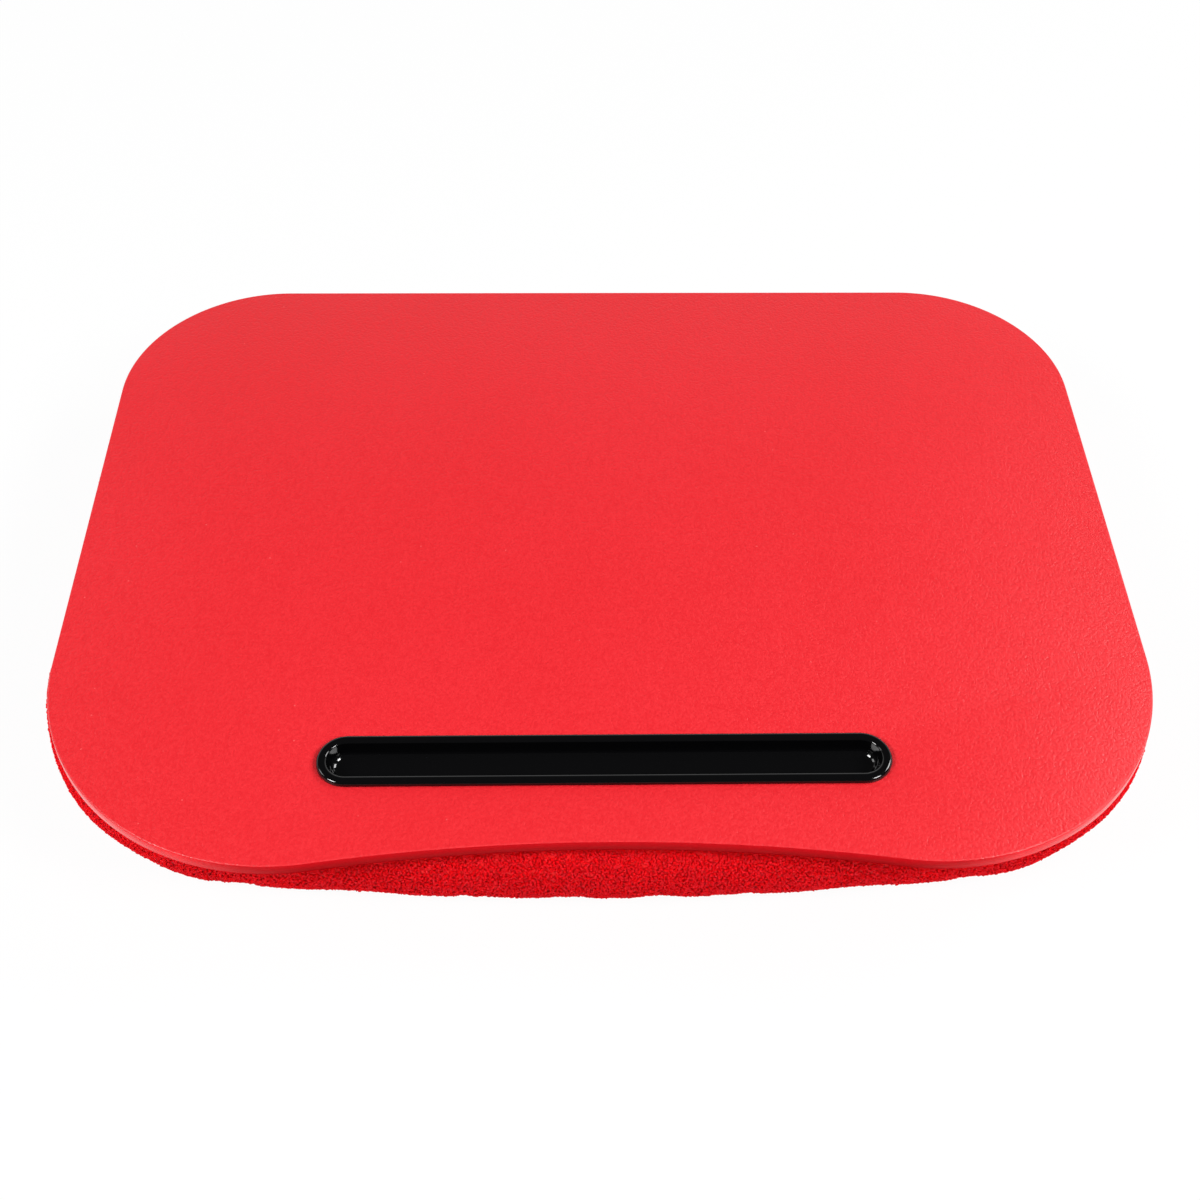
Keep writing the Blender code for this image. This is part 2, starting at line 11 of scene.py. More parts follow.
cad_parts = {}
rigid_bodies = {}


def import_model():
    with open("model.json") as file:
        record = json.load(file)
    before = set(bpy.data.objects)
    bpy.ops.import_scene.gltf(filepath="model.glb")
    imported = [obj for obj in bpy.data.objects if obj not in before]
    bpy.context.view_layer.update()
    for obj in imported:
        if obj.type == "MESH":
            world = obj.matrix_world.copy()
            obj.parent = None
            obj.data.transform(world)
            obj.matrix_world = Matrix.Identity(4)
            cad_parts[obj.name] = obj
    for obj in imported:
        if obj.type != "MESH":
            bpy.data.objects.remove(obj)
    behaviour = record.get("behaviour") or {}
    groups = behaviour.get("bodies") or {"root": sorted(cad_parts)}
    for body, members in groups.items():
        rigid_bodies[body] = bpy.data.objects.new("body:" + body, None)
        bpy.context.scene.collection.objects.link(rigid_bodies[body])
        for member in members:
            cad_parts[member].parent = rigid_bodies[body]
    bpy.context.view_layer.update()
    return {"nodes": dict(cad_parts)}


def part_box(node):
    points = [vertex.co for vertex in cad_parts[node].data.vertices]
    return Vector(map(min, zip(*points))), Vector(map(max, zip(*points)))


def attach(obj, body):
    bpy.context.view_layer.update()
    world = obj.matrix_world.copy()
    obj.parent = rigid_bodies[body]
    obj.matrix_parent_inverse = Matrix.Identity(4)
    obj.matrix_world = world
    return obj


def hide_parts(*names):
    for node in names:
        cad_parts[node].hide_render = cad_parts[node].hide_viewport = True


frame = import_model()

MM = 0.001
QUARTER = math.pi / 2

# The CAD model's boxes that the pieces are fitted to
BOARD_LOW, BOARD_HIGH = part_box("deck_board")
TRAY_LOW, TRAY_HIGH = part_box("pen_tray")
PANEL_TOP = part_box("cushion_top_panel")[1].z
CUSHION_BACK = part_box("plush_cover")[1].y

# Board: what its box doesn't state
BOARD_BACK_RADIUS = 64.5 * MM
BOARD_FRONT_RADIUS = 87 * MM
BOARD_FRONT_HOLLOW = 8.6 * MM
BOARD_ARRIS_TOP = 0.7 * MM
BOARD_ARRIS_UNDER = 1.0 * MM
BOARD_EDGE_BULGE = 0.15 * MM
SLOT_ARRIS = 0.3 * MM
BOARD_STEP = 2 * MM
ARRIS_STEPS = 5
EDGE_STEPS = 6
EDGE_TILTS = -0.97, 0.6

# Pen tray
PEN_RIM_WIDTH = 3.6 * MM
PEN_RIM_CREST = 0.3 * MM
PEN_RIM_LIP = 0.8 * MM
PEN_RIM_ARCH = 1.5 * MM
PEN_RIM_ROLL = 2.6
PEN_WALL = 1.2 * MM
PEN_FLOOR_FILLET = 4.0 * MM
PEN_DRAFT = math.radians(5)
PEN_SEAT_GAP = 0.3 * MM
PEN_STEP = 0.5 * MM
PEN_ROUND_STEPS = 8

# Stitches, each a rounded length of thread
STITCH_PITCH = 3 * MM
STITCH_LENGTH = 2.4 * MM
STITCH_RINGS = 7
THREAD_RADIUS = 0.22 * MM

# Patches. A hook's bend and a loop's middle are shares of its height
PATCH_RADIUS = 4 * MM
PATCH_STEP = 1 * MM
TAPE_GROUND = 0.35 * MM
HOOK_PITCH = 1.6 * MM
HOOK_WIRE = 0.11 * MM
HOOK_BEND = 0.36
HOOK_TURNS = 0.5, math.pi - 0.3
HOOK_SWAY = 0.5
HOOK_SEED = 4
LOOP_SPACING = 0.95 * MM
LOOP_WIRE = 0.06 * MM
LOOP_RADIUS = 0.5 * MM
LOOP_MIDDLE = 0.48
LOOP_PRESSED = 0.95
LOOP_PAST_HALF = 0.35
LOOP_SEED = 2
LOOP_FIELD_INSET = 3 * THREAD_RADIUS + 1 * MM
PATCH_SEAM_INSET = 1.1 * MM

# Cushion: its widest plan and crowned section
CUSHION_WIDTH = 417.0 * MM
CUSHION_FRONT = -135.5 * MM
CUSHION_FRONT_BOW = 6.5 * MM
CUSHION_SIDE_DRAW = 2 * MM
CUSHION_CORNER_RADIUS = 86.5 * MM
CUSHION_STEP = 0.5 * MM
TOP_CROWN = 1 * MM
TOP_CROWN_REACH = 25 * MM
BOTTOM_CROWN = 3 * MM
BOTTOM_CROWN_REACH = 60 * MM
BOTTOM_FLAT_CUT = 0.5 * MM
NOSE_RADIUS = (PANEL_TOP - TOP_CROWN - BOTTOM_CROWN) / 2
NOSE_LEVEL = BOTTOM_CROWN + NOSE_RADIUS
BACK_CENTRE = CUSHION_BACK - NOSE_RADIUS
SEAM_INSET = 14 * MM
SEAM_GAP = 0.3 * MM
SEAM_STEP = 3 * MM
COVER_INSETS = (3.5 * MM, 7 * MM, 10.5 * MM, 12.5 * MM, SEAM_INSET)
PANEL_INSETS = (SEAM_INSET + SEAM_GAP, 16 * MM, 18.5 * MM, 21.5 * MM, TOP_CROWN_REACH)
LONG_SIDE_STEPS = 84
SHORT_SIDE_STEPS = 52
UNDER_RINGS = 11
NOSE_STEPS = 18
COVER_CLOTH = 0.8 * MM

# The cloth simulation's settings, and how much of its result is kept
CLOTH = {
    "tension_stiffness": 12,
    "compression_stiffness": 12,
    "shear_stiffness": 6,
    "bending_stiffness": 0.6,
    "use_pressure": True,
    "uniform_pressure_force": 4,
    "shrink_min": -0.03,
    "vertex_group_mass": "held",
}
PUFF_LIMIT = 0.35 * MM
PUFF_STEPS = 20
LONG_WAVES = 24

# Small folds beside the top panel's seam
SEAM_PUCKER = 0.35 * MM
PUCKER_LENGTH = 11 * MM
PUCKER_SHARES = (0.6, 0.85, 1.0, 1.3)
PUCKER_ROWS = 4
PUCKER_SEED = 11

# How far the ground cloth lies below the cushion's outside, because the pile stands on it
PILE_ROOM_SIDE = 0.45 * MM
PILE_ROOM_UNDER = 1.4 * MM
PILE_ROOM_SEAM = 1.2 * MM
PANEL_DEPTH = 0.1 * MM

# Pile. A tuft's sections are heights and radii for a length and a width of 1
TUFT_KINDS = 8
TUFT_SECTIONS = ((0, 0.5), (0.78, 0.42))
TUFT_OVAL = 1.2, 0.75
TUFT_BENDS = -0.3, 0.45
TUFT_TWIST = 0.4
TUFT_SIZES = 0.88, 1.1
TUFT_LEAN = 0.3
SIDE_PILE = {"Spacing": 0.8 * MM, "Length": 0.9 * MM, "Width": 1.9 * MM}
SIDE_PILE |= {"Nap": (0, 0, -0.25), "Seed": 31}
UNDER_PILE = {"Spacing": 2.0 * MM, "Length": 1.9 * MM, "Width": 2.2 * MM}
UNDER_PILE |= {"Nap": (0, -0.3, 0), "Seed": 17}
PILE_LOWEST = 0.1 * MM
PILE_BELOW_BOARD = 0.4 * MM
SIDE_PILE_ROWS = 4
SPIN_SEED, SIZE_SEED, KIND_SEED, TONE_SEED, SCATTER_SEED = 5, 9, 3, 21, 7

# Bead bag and its filling
BAG_DEPTH = 4.3 * MM
BAG_CLOTH = 0.6 * MM
BAG_SEAM_GAP = 0.15 * MM
BEAD_SPACING = 4.6 * MM
BEAD_RADIUS = 2.1 * MM
BEAD_GAP = 0.3 * MM
BEAD_SEED = 8

# Zip
SLOT_HALF_LENGTH = 119 * MM
SLOT_HALF_HEIGHT = 5.5 * MM
SLOT_STEP = 1 * MM
SLOT_CUT_PAST = 2 * MM
WELT_RADIUS = 1.1 * MM
WELT_SIDES = 8
WELT_STEP = 1.5 * MM
PILE_CLEAR_OF_SLOT = 2.6 * MM
SEAM_FROM_PILE = 0.7 * MM
TAPE_TAIL = 2 * MM
TAPE_RINGS = 241
ZIP_TAPE_CLOTH = 0.6 * MM
TACK_GAP = 0.05 * MM
TACK_REACH = 3 * MM
POST_ROOM = 0.75 * MM

# Which points count as one, which faces as one flat face, and which edges are rounded off
SAME_POINT = 0.001 * MM
FLAT_ANGLE = math.radians(2)
EDGE_ANGLE = math.radians(25)

# Camera, found by fitting the board's outline
CAMERA_PLACE = (-12.69 * MM, -448.92 * MM, 473.65 * MM + BOARD_HIGH.z)
CAMERA_LENS_MM = 50.21
CAMERA_SENSOR_MM = 36
CAMERA_NEAREST = 10 * MM
CAMERA_TURN = 0.0293
CAMERA_DOWN = 0.8509
CAMERA_ROLL = -0.0170

# Studio. Each softbox has a place and a size in metres, and watts
ROOM = 0.05
BACKDROP = 0.9
FLOOR_SHOWN = 0.95
FLOOR_MIRRORED = 0.9
FLOOR_FADE = 0.4, 1.6
FLOOR_REACH = 6.0
SOFTBOXES = {
    "lamp_right": ((1.3, 0.4, 1.15), (0.6, 0.5), 12.5),
    "lamp_left": ((-1.35, 0.1, 1.0), (0.5, 0.5), 3.5),
    "lamp_front_right": ((1.1, -0.78, 1.2), (0.5, 0.5), 19.3),
    "lamp_front_left": ((-1.1, -0.78, 1.2), (0.5, 0.5), 19.3),
}

# Nodes that are used more than once
MATH, VECTOR_MATH, MIX = "ShaderNodeMath", "ShaderNodeVectorMath", "ShaderNodeMix"
MAP_RANGE, BUMP = "ShaderNodeMapRange", "ShaderNodeBump"
SPLIT, COMBINE = "ShaderNodeSeparateXYZ", "ShaderNodeCombineXYZ"
NOISE, CELLS, WAVES = "ShaderNodeTexNoise", "ShaderNodeTexVoronoi", "ShaderNodeTexWave"
COORDINATES, STORED, RAYS = "ShaderNodeTexCoord", "ShaderNodeAttribute", "ShaderNodeLightPath"
GLOW, MIX_SHADER = "ShaderNodeBackground", "ShaderNodeMixShader"
RANDOM, SCATTER = "FunctionNodeRandomValue", "GeometryNodeDistributePointsOnFaces"
PLACE_ON, REALIZE = "GeometryNodeInstanceOnPoints", "GeometryNodeRealizeInstances"
POSITION, STORE = "GeometryNodeInputPosition", "GeometryNodeStoreNamedAttribute"
ALIGN, ROTATE = "FunctionNodeAlignRotationToVector", "FunctionNodeRotateRotation"


# Materials


def linear(hex_colour):
    """An sRGB hex colour as linear RGBA."""
    shares = [int(hex_colour[i : i + 2], 16) / 255 for i in (0, 2, 4)]
    return (*(c / 12.92 if c <= 0.04045 else ((c + 0.055) / 1.055) ** 2.4 for c in shares), 1.0)


def feed(tree, target, inputs):
    """Sets a node's inputs: an output of another node is linked, a value is written."""
    for socket, value in inputs.items():
        if isinstance(value, bpy.types.NodeSocket):
            tree.links.new(value, target.inputs[socket])
        else:
            target.inputs[socket].default_value = value


def node(tree, kind, inputs, **settings):
    """Adds a node with its settings and inputs, and returns its outputs."""
    made = tree.nodes.new(kind)
    for name, value in settings.items():
        setattr(made, name, value)
    feed(tree, made, inputs)
    return made.outputs


def finish_of(name, colour, roughness, **sockets):
    """A new material: the material, its tree, its shader and the object's own coordinates."""
    made = bpy.data.materials.new(name)
    made.use_nodes = True
    tree = made.node_tree
    shader = tree.nodes["Principled BSDF"]
    plain = {socket.replace("_", " "): value for socket, value in sockets.items()}
    feed(tree, shader, {"Base Color": linear(colour), "Roughness": roughness, **plain})
    made.diffuse_color = linear(colour)
    return made, tree, shader, node(tree, COORDINATES, {})["Object"]


def dressed(tree, shader, pattern, colours=None, gloss=None, depth=None, strength=0.4):
    """Lets a pattern change the finish between two colours, between two roughnesses over a stretch of
    its values, and by its height."""
    changed = {}
    if colours:
        low, high = map(linear, colours)
        base = node(tree, MIX, {0: pattern, 6: low, 7: high}, data_type="RGBA")[2]
        changed["Base Color"] = base
    if gloss:
        limits = dict(zip((1, 2, 3, 4), gloss))
        changed["Roughness"] = node(tree, MAP_RANGE, {"Value": pattern, **limits})[0]
    if depth:
        height = {"Height": pattern, "Distance": depth, "Strength": strength}
        changed["Normal"] = node(tree, BUMP, height)[0]
    feed(tree, shader, changed)
    return changed


def shaded(tree, base, shade):
    """A colour made lighter or darker by a shade of about 1."""
    grey = node(tree, "ShaderNodeCombineColor", {0: shade, 1: shade, 2: shade})[0]
    return node(tree, MIX, {0: 1.0, 6: base, 7: grey}, data_type="RGBA", blend_type="MULTIPLY")[2]


def mottled(name, colour, roughness, size, gloss, depth, detail=2.0, strength=0.4, **sockets):
    """A smooth finish whose shine changes in spots of a size, and that is never quite even."""
    made, tree, shader, place = finish_of(name, colour, roughness, **sockets)
    spots = node(tree, NOISE, {"Vector": place, "Scale": 1 / size, "Detail": detail})["Fac"]
    dressed(tree, shader, spots, gloss=gloss, depth=depth, strength=strength)
    return made


def wave_scale(period):
    """The Wave texture's scale for one wave in each period."""
    return 2 * math.pi / (20 * period)


def lacquer_top():
    """Sprayed satin lacquer on fibreboard. The spray leaves a fine sandy grain that glitters softly in
    the light, and a little dust under it shows as pale specks. The grain is drawn at 0.9 mm, coarser
    than the real one, so that it shows."""
    made, tree, shader, place = finish_of("satin_lacquer", "E1222A", 0.4, IOR=1.5)
    grain = node(tree, NOISE, {"Vector": place, "Scale": 1 / (0.9 * MM), "Detail": 1.0})["Fac"]
    cloud = node(tree, NOISE, {"Vector": place, "Scale": 1 / (70 * MM)})["Fac"]
    cells = node(tree, CELLS, {"Vector": place, "Scale": 1 / (11 * MM)})["Distance"]
    speck = node(tree, MATH, {0: cells, 1: 0.03}, operation="LESS_THAN")[0]
    pale = node(tree, MATH, {0: speck, 1: 0.35}, operation="MULTIPLY")[0]
    base = node(tree, MIX, {0: cloud, 6: linear("DF2027"), 7: linear("E3242E")}, data_type="RGBA")[2]
    base = node(tree, MIX, {0: pale, 6: base, 7: linear("FF7A78")}, data_type="RGBA")[2]
    sand = node(tree, MAP_RANGE, {"Value": grain, 1: 0.3, 2: 0.7, 3: 0.95, 4: 1.05})[0]
    dressed(tree, shader, grain, gloss=(0.3, 0.7, 0.34, 0.5), depth=0.2 * MM, strength=1.0)
    feed(tree, shader, {"Base Color": shaded(tree, base, sand)})
    return made


def lacquer_edge():
    """The same lacquer over the routed edge, given a deeper red than the top as painted shade. It mirrors
    only at a low angle, and it shows faint marks along the board. Under the edge it dries matte. Its red
    is made lighter as a painted sheen where the edge is seen at a low angle, and as a painted highlight
    where it tilts up into the top arris."""
    made, tree, shader, place = finish_of("sanded_lacquer_edge_painted_shade", "C0070F", 0.24, Specular_IOR_Level=0.04)
    drawn = node(tree, "ShaderNodeMapping", {"Vector": place, "Scale": (1, 1, 12)})[0]
    marks = node(tree, NOISE, {"Vector": drawn, "Scale": 1 / (9 * MM), "Detail": 3.0})["Fac"]
    # These reds, like the finish's own red, are deeper than the top's as painted shade
    colours = "960409", "A4050B"
    base = dressed(tree, shader, marks, colours, (0.3, 0.7, 0.2, 0.3), 0.03 * MM)["Base Color"]
    normal = node(tree, "ShaderNodeNewGeometry", {})["Normal"]
    level = node(tree, VECTOR_MATH, {0: normal, 1: (1, 1, 0)}, operation="MULTIPLY")[0]
    level = node(tree, VECTOR_MATH, {0: level}, operation="NORMALIZE")[0]
    facing = node(tree, "ShaderNodeLayerWeight", {"Blend": 0.5, "Normal": level})["Facing"]
    tilt = node(tree, SPLIT, {0: normal})["Z"]
    matte = node(tree, MAP_RANGE, {"Value": tilt, 1: -0.16, 2: -0.02})[0]
    mirror = node(tree, MAP_RANGE, {"Value": facing, 1: 0.45, 2: 0.6, 3: 0.006, 4: 0.19})[0]
    grazing = node(tree, MAP_RANGE, {"Value": facing, 1: 0.62, 2: 0.84, 3: 0.0, 4: 0.6})[0]
    mirror = node(tree, MATH, {0: mirror, 1: grazing}, operation="ADD")[0]
    mirror = node(tree, MATH, {0: mirror, 1: matte}, operation="MULTIPLY")[0]
    # Painted sheen and highlight: the red turns lighter, towards EE1824, where the edge is seen at a low
    # angle and where it tilts up into the top arris
    painted_sheen = node(tree, MAP_RANGE, {"Value": facing, 1: 0.45, 2: 0.58})[0]
    painted_arris_light = node(tree, MAP_RANGE, {"Value": tilt, 1: -0.1, 2: 0.16, 3: 0.0, 4: 0.4})[0]
    painted_sheen = node(tree, MATH, {0: painted_sheen, 1: painted_arris_light}, operation="MAXIMUM")[0]
    base = node(tree, MIX, {0: painted_sheen, 6: base, 7: linear("EE1824")}, data_type="RGBA")[2]
    feed(tree, shader, {"Base Color": base, "Specular IOR Level": mirror})
    return made


def gloss_abs():
    """ABS moulded in a polished mould: nearly black and glossy, with the faint ripple of shrinkage and
    a little dust."""
    made, tree, shader, place = finish_of("gloss_black_abs", "050506", 0.12, IOR=1.53)
    ripple = node(tree, NOISE, {"Vector": place, "Scale": 1 / (14 * MM), "Detail": 1.0})["Fac"]
    dust = node(tree, NOISE, {"Vector": place, "Scale": 1 / (1.1 * MM), "Detail": 3.0})["Fac"]
    dressed(tree, shader, dust, gloss=(0.4, 0.75, 0.07, 0.12))
    dressed(tree, shader, ripple, depth=0.05 * MM, strength=0.1)
    return made


def plush_fibre():
    """Polyester plush. Light passes from fibre to fibre, so the pile stays a full red between its tufts.
    The fibres curl up in fine locks, and show a soft sheen where they are seen from the side. Each tuft
    is a little darker at its root as painted shade, and lighter with its curls towards its outer end as
    painted highlight."""
    sheen = {"Sheen_Weight": 0.25, "Sheen_Roughness": 0.4, "Sheen_Tint": linear("FF2029")}
    depth = {"Subsurface_Weight": 0.65, "Subsurface_Radius": (1.0, 0.3, 0.3), "Subsurface_Scale": 1.6 * MM}
    looks = {"Specular_IOR_Level": 0.04, **sheen, **depth}
    made, tree, shader, place = finish_of("polyester_plush", "FF0F1B", 0.85, **looks)
    height = node(tree, STORED, {}, attribute_name="tuft_height")["Fac"]
    tone = node(tree, STORED, {}, attribute_name="tuft_tone")["Fac"]
    fibres = node(tree, NOISE, {"Vector": place, "Scale": 1 / (0.45 * MM)})["Fac"]
    lumps = node(tree, NOISE, {"Vector": place, "Scale": 1 / (16 * MM)})["Fac"]
    # Painted shade: each tuft's red is a little darker at its root than at its outer end
    base = node(tree, MIX, {0: height, 6: linear("FF020A"), 7: linear("FF0A14")}, data_type="RGBA")[2]
    # A lighter tone at random, which grows towards each tuft's outer end as painted light
    random_tone_and_painted_light = node(tree, MAP_RANGE, {"Value": tone, 1: 0.4, 2: 1.0, 3: 0.0, 4: 0.6})[0]
    random_tone_and_painted_light = node(tree, MATH, {0: random_tone_and_painted_light, 1: height}, operation="MULTIPLY")[0]
    base = node(tree, MIX, {0: random_tone_and_painted_light, 6: base, 7: linear("FF202C")}, data_type="RGBA")[2]
    fine = node(tree, MAP_RANGE, {"Value": fibres, 1: 0.3, 2: 0.7, 3: 0.96, 4: 1.01})[0]
    broad = node(tree, MAP_RANGE, {"Value": lumps, 1: 0.3, 2: 0.7, 3: 0.97, 4: 1.02})[0]
    shade = node(tree, MATH, {0: fine, 1: broad}, operation="MULTIPLY")[0]
    base = shaded(tree, base, shade)
    curled = {"Vector": place, "Scale": 1 / (1.7 * MM), "Detail": 1.0, "Distortion": 0.8}
    curl = node(tree, NOISE, curled)["Fac"]
    curl = node(tree, MATH, {0: curl, 1: 0.5}, operation="SUBTRACT")[0]
    curl = node(tree, MATH, {0: curl}, operation="ABSOLUTE")[0]
    lock = node(tree, MAP_RANGE, {"Value": curl, 1: 0.0, 2: 0.05, 3: 1.0, 4: 0.0})[0]
    # Painted highlight: the curls turn lighter, towards FF4850, at the tufts' outer ends
    painted_tip_highlight = node(tree, MATH, {0: lock, 1: height}, operation="MULTIPLY")[0]
    painted_tip_highlight = node(tree, MATH, {0: painted_tip_highlight, 1: 0.22}, operation="MULTIPLY")[0]
    base = node(tree, MIX, {0: painted_tip_highlight, 6: base, 7: linear("FF4850")}, data_type="RGBA")[2]
    bump = node(tree, BUMP, {"Height": lock, "Distance": 0.1 * MM, "Strength": 0.5})[0]
    even = node(tree, STORED, {}, attribute_name="pile_facing")["Vector"]
    turn = {"vector_type": "NORMAL", "convert_from": "OBJECT"}
    even = node(tree, "ShaderNodeVectorTransform", {0: even}, **turn)[0]
    facing = node(tree, MIX, {0: 0.7, 4: bump, 5: even}, data_type="VECTOR")[1]
    facing = node(tree, VECTOR_MATH, {0: facing}, operation="NORMALIZE")[0]
    feed(tree, shader, {"Base Color": base, "Normal": facing})
    return made


def plush_ground():
    """The knitted ground that carries the pile, a deeper red between the tufts."""
    made, tree, shader, place = finish_of("knitted_plush_ground", "F4040E", 0.95, Sheen_Weight=0.1)
    lumps = node(tree, NOISE, {"Vector": place, "Scale": 1 / (1.2 * MM), "Detail": 3.0})["Fac"]
    dressed(tree, shader, lumps, ("EC020B", "FC0611"), depth=0.5 * MM, strength=0.8)
    return made


def dull_cloth(name, colour, roughness, sheen, specular):
    """A cloth's material, whose sheen has the colour of its threads."""
    dull = {"Sheen_Weight": sheen, "Sheen_Tint": linear(colour), "Specular_IOR_Level": specular}
    return finish_of(name, colour, roughness, **dull)


def plain_weave(name, colour, dark, spacing):
    """Plain weave: two crossed sets of threads a spacing apart, darker where they dip."""
    made, tree, shader, place = dull_cloth(name, colour, 0.85, 0.15, 0.15)
    waves = {"Vector": place, "Scale": wave_scale(spacing)}
    across = node(tree, WAVES, waves, bands_direction="X")["Fac"]
    along = node(tree, WAVES, waves, bands_direction="Y")["Fac"]
    cloth = node(tree, MATH, {0: across, 1: along}, operation="MULTIPLY")[0]
    fuzz = node(tree, NOISE, {"Vector": place, "Scale": 2 / spacing})["Fac"]
    fuzz = node(tree, MAP_RANGE, {"Value": fuzz, 3: 0.7, 4: 1.2})[0]
    mixed = node(tree, MATH, {0: cloth, 1: fuzz}, operation="MULTIPLY")[0]
    dressed(tree, shader, mixed, (dark, colour))
    dressed(tree, shader, cloth, depth=0.12 * MM, strength=0.8)
    return made


def tape_weave(name, colour, dark, spacing):
    """Narrow woven tape: a herringbone of fine slanting threads, folded back every few threads."""
    made, tree, shader, place = dull_cloth(name, colour, 0.8, 0.1, 0.2)
    part = node(tree, SPLIT, {0: place})
    across = node(tree, MATH, {0: part["Y"], 1: part["Z"]}, operation="ADD")[0]
    folded = node(tree, MATH, {0: across, 1: 4 * spacing}, operation="PINGPONG")[0]
    slanted = node(tree, MATH, {0: part["X"], 1: folded}, operation="ADD")[0]
    waves = {"Vector": node(tree, COMBINE, {"X": slanted})[0], "Scale": wave_scale(spacing)}
    twill = node(tree, WAVES, waves, bands_direction="X")["Fac"]
    dressed(tree, shader, twill, (dark, colour), depth=0.1 * MM, strength=0.8)
    return made


def nylon(name, colour, roughness):
    """Drawn or spun nylon: a slight shine that changes along the wire or thread."""
    gloss = (0.3, 0.7, roughness - 0.08, roughness + 0.12)
    return mottled(name, colour, roughness, 2.5 * MM, gloss, 0.02 * MM, IOR=1.53)


def moulded_acetal():
    """Acetal teeth, injection moulded on the tape: satin red and a little waxy."""
    gloss = (0.3, 0.7, 0.3, 0.45)
    return mottled("moulded_acetal", "B5101E", 0.36, 1.5 * MM, gloss, 0.03 * MM, IOR=1.48)


def nickel_plate():
    """Nickel plate on die-cast zinc, tumbled: bright grey metal with fine soft scratches."""
    gloss = (0.35, 0.65, 0.18, 0.36)
    metal = {"detail": 4.0, "strength": 0.5, "Metallic": 1.0}
    return mottled("nickel_plated_zinc", "C9C7C2", 0.24, 0.35 * MM, gloss, 0.01 * MM, **metal)


def spunbond():
    """Spunbond polypropylene, the white non-woven cloth of the bead bag. Its bonding roller leaves
    rows of dimples."""
    made, tree, shader, place = finish_of("spunbond_polypropylene", "E9E7E1", 0.8)
    cells = {"Vector": place, "Scale": 1 / (1.8 * MM), "Randomness": 0.3}
    distance = node(tree, CELLS, cells)["Distance"]
    dimple = node(tree, MAP_RANGE, {"Value": distance, 1: 0.1, 2: 0.35})[0]
    dressed(tree, shader, dimple, ("CFCDC6", "EFEDE8"), depth=0.15 * MM, strength=0.7)
    return made


def expanded_bead():
    """Expanded polystyrene: white, with the fine cells of the foam on each bead."""
    made, tree, shader, place = finish_of("expanded_polystyrene", "F4F3EF", 0.6)
    cells = node(tree, NOISE, {"Vector": place, "Scale": 1 / (0.6 * MM)})["Fac"]
    dressed(tree, shader, cells, ("E6E5E0", "FAFAF7"), depth=0.06 * MM, strength=0.6)
    return made


# Outlines in plan, as points and their outward normals


def arc(centre, radius, start, end, step):
    """Points along an arc, about a step apart. A negative radius bends a hollow edge."""
    count = max(2, math.ceil(abs((end - start) * radius) / step))
    angles = np.linspace(start, end, count + 1)
    normals = np.stack([np.cos(angles), np.sin(angles)], axis=1)
    return np.array(centre) + radius * normals, normals


def joined(stretches):
    return tuple(np.concatenate(column) for column in zip(*stretches))


def edge_circle(a, b, radius, rise, facing):
    """Centre and signed radius of the circle that joins corner circles a and b and stands out by rise
    from their common tangent, with the normals' angles where it meets them."""
    half_span = np.linalg.norm(b - a) / 2
    edge_radius = radius + (half_span * half_span + rise * rise) / (2 * rise)
    outward = np.array([math.cos(facing), math.sin(facing)])
    centre = (a + b) / 2 + outward * (radius + rise - edge_radius)
    turn = math.asin(half_span / (edge_radius - radius))
    return centre, edge_radius, facing - turn, facing + turn


def rounded_outline(width, front, back, front_radius, back_radius, step, front_rise=0, side_rise=0):
    """A rounded outline, anticlockwise from the right, whose front and sides can bow out or in."""
    right, left = width / 2, -width / 2
    corners = (
        (np.array([right - back_radius, back - back_radius]), back_radius),
        (np.array([left + back_radius, back - back_radius]), back_radius),
        (np.array([left + front_radius, front + front_radius]), front_radius),
        (np.array([right - front_radius, front + front_radius]), front_radius),
    )
    edges = []
    for i, rise in enumerate((0, side_rise, front_rise, side_rise)):
        facing = QUARTER * (i + 1)
        (a, radius), (b, _) = corners[i], corners[(i + 1) % 4]
        straight = (None, 0, facing, facing)
        edges.append(edge_circle(a, b, radius, rise, facing) if rise else straight)
    found = []
    for i, (centre, radius) in enumerate(corners):
        start, end = edges[i - 1][3], edges[i][2]
        if i == 0:
            start -= 2 * math.pi
        found.append(arc(centre, radius, start, end, step))
        edge_centre, edge_radius, edge_start, edge_end = edges[i]
        if edge_centre is not None:
            points, normals = arc(edge_centre, edge_radius, edge_start, edge_end, step)
            found.append((points[1:-1], normals[1:-1]))
    return joined(found)


def stadium(length, width, step):
    """A slot's outline with round ends."""
    radius = width / 2
    reach = length / 2 - radius
    right = arc((reach, 0), radius, -QUARTER, QUARTER, step)
    left = arc((-reach, 0), radius, QUARTER, 3 * QUARTER, step)
    return joined([right, left])


def moved(outline, shift):
    return outline[0] + np.array(shift), outline[1]


def ring(outline, inset, level):
    """The outline drawn in by inset, at a level."""
    points = outline[0] - outline[1] * inset
    return np.column_stack([points, np.full(len(points), level)])


def respaced(points, normals, count=None, step=None):
    """A line again with its points evenly spaced, so many of them or about a step apart, and without
    its last point."""
    length = np.concatenate([[0], np.cumsum(np.linalg.norm(np.diff(points, axis=0), axis=1))])
    count = count or math.ceil(length[-1] / step)
    spots = np.linspace(0, length[-1], count + 1)[:-1]
    made = np.column_stack([np.interp(spots, length, line) for line in (*points.T, *normals.T)])
    return made[:, :2], made[:, 2:] / np.linalg.norm(made[:, 2:], axis=1)[:, None]


def round_turns(sides):
    """The angles of the corners of a wire's or thread's section."""
    return [2 * math.pi * k / sides for k in range(sides)]


# Meshes


def mesh_of(name, points, faces=(), edges=()):
    mesh = bpy.data.meshes.new(name)
    mesh.from_pydata([tuple(p) for p in points], edges, faces)
    return mesh


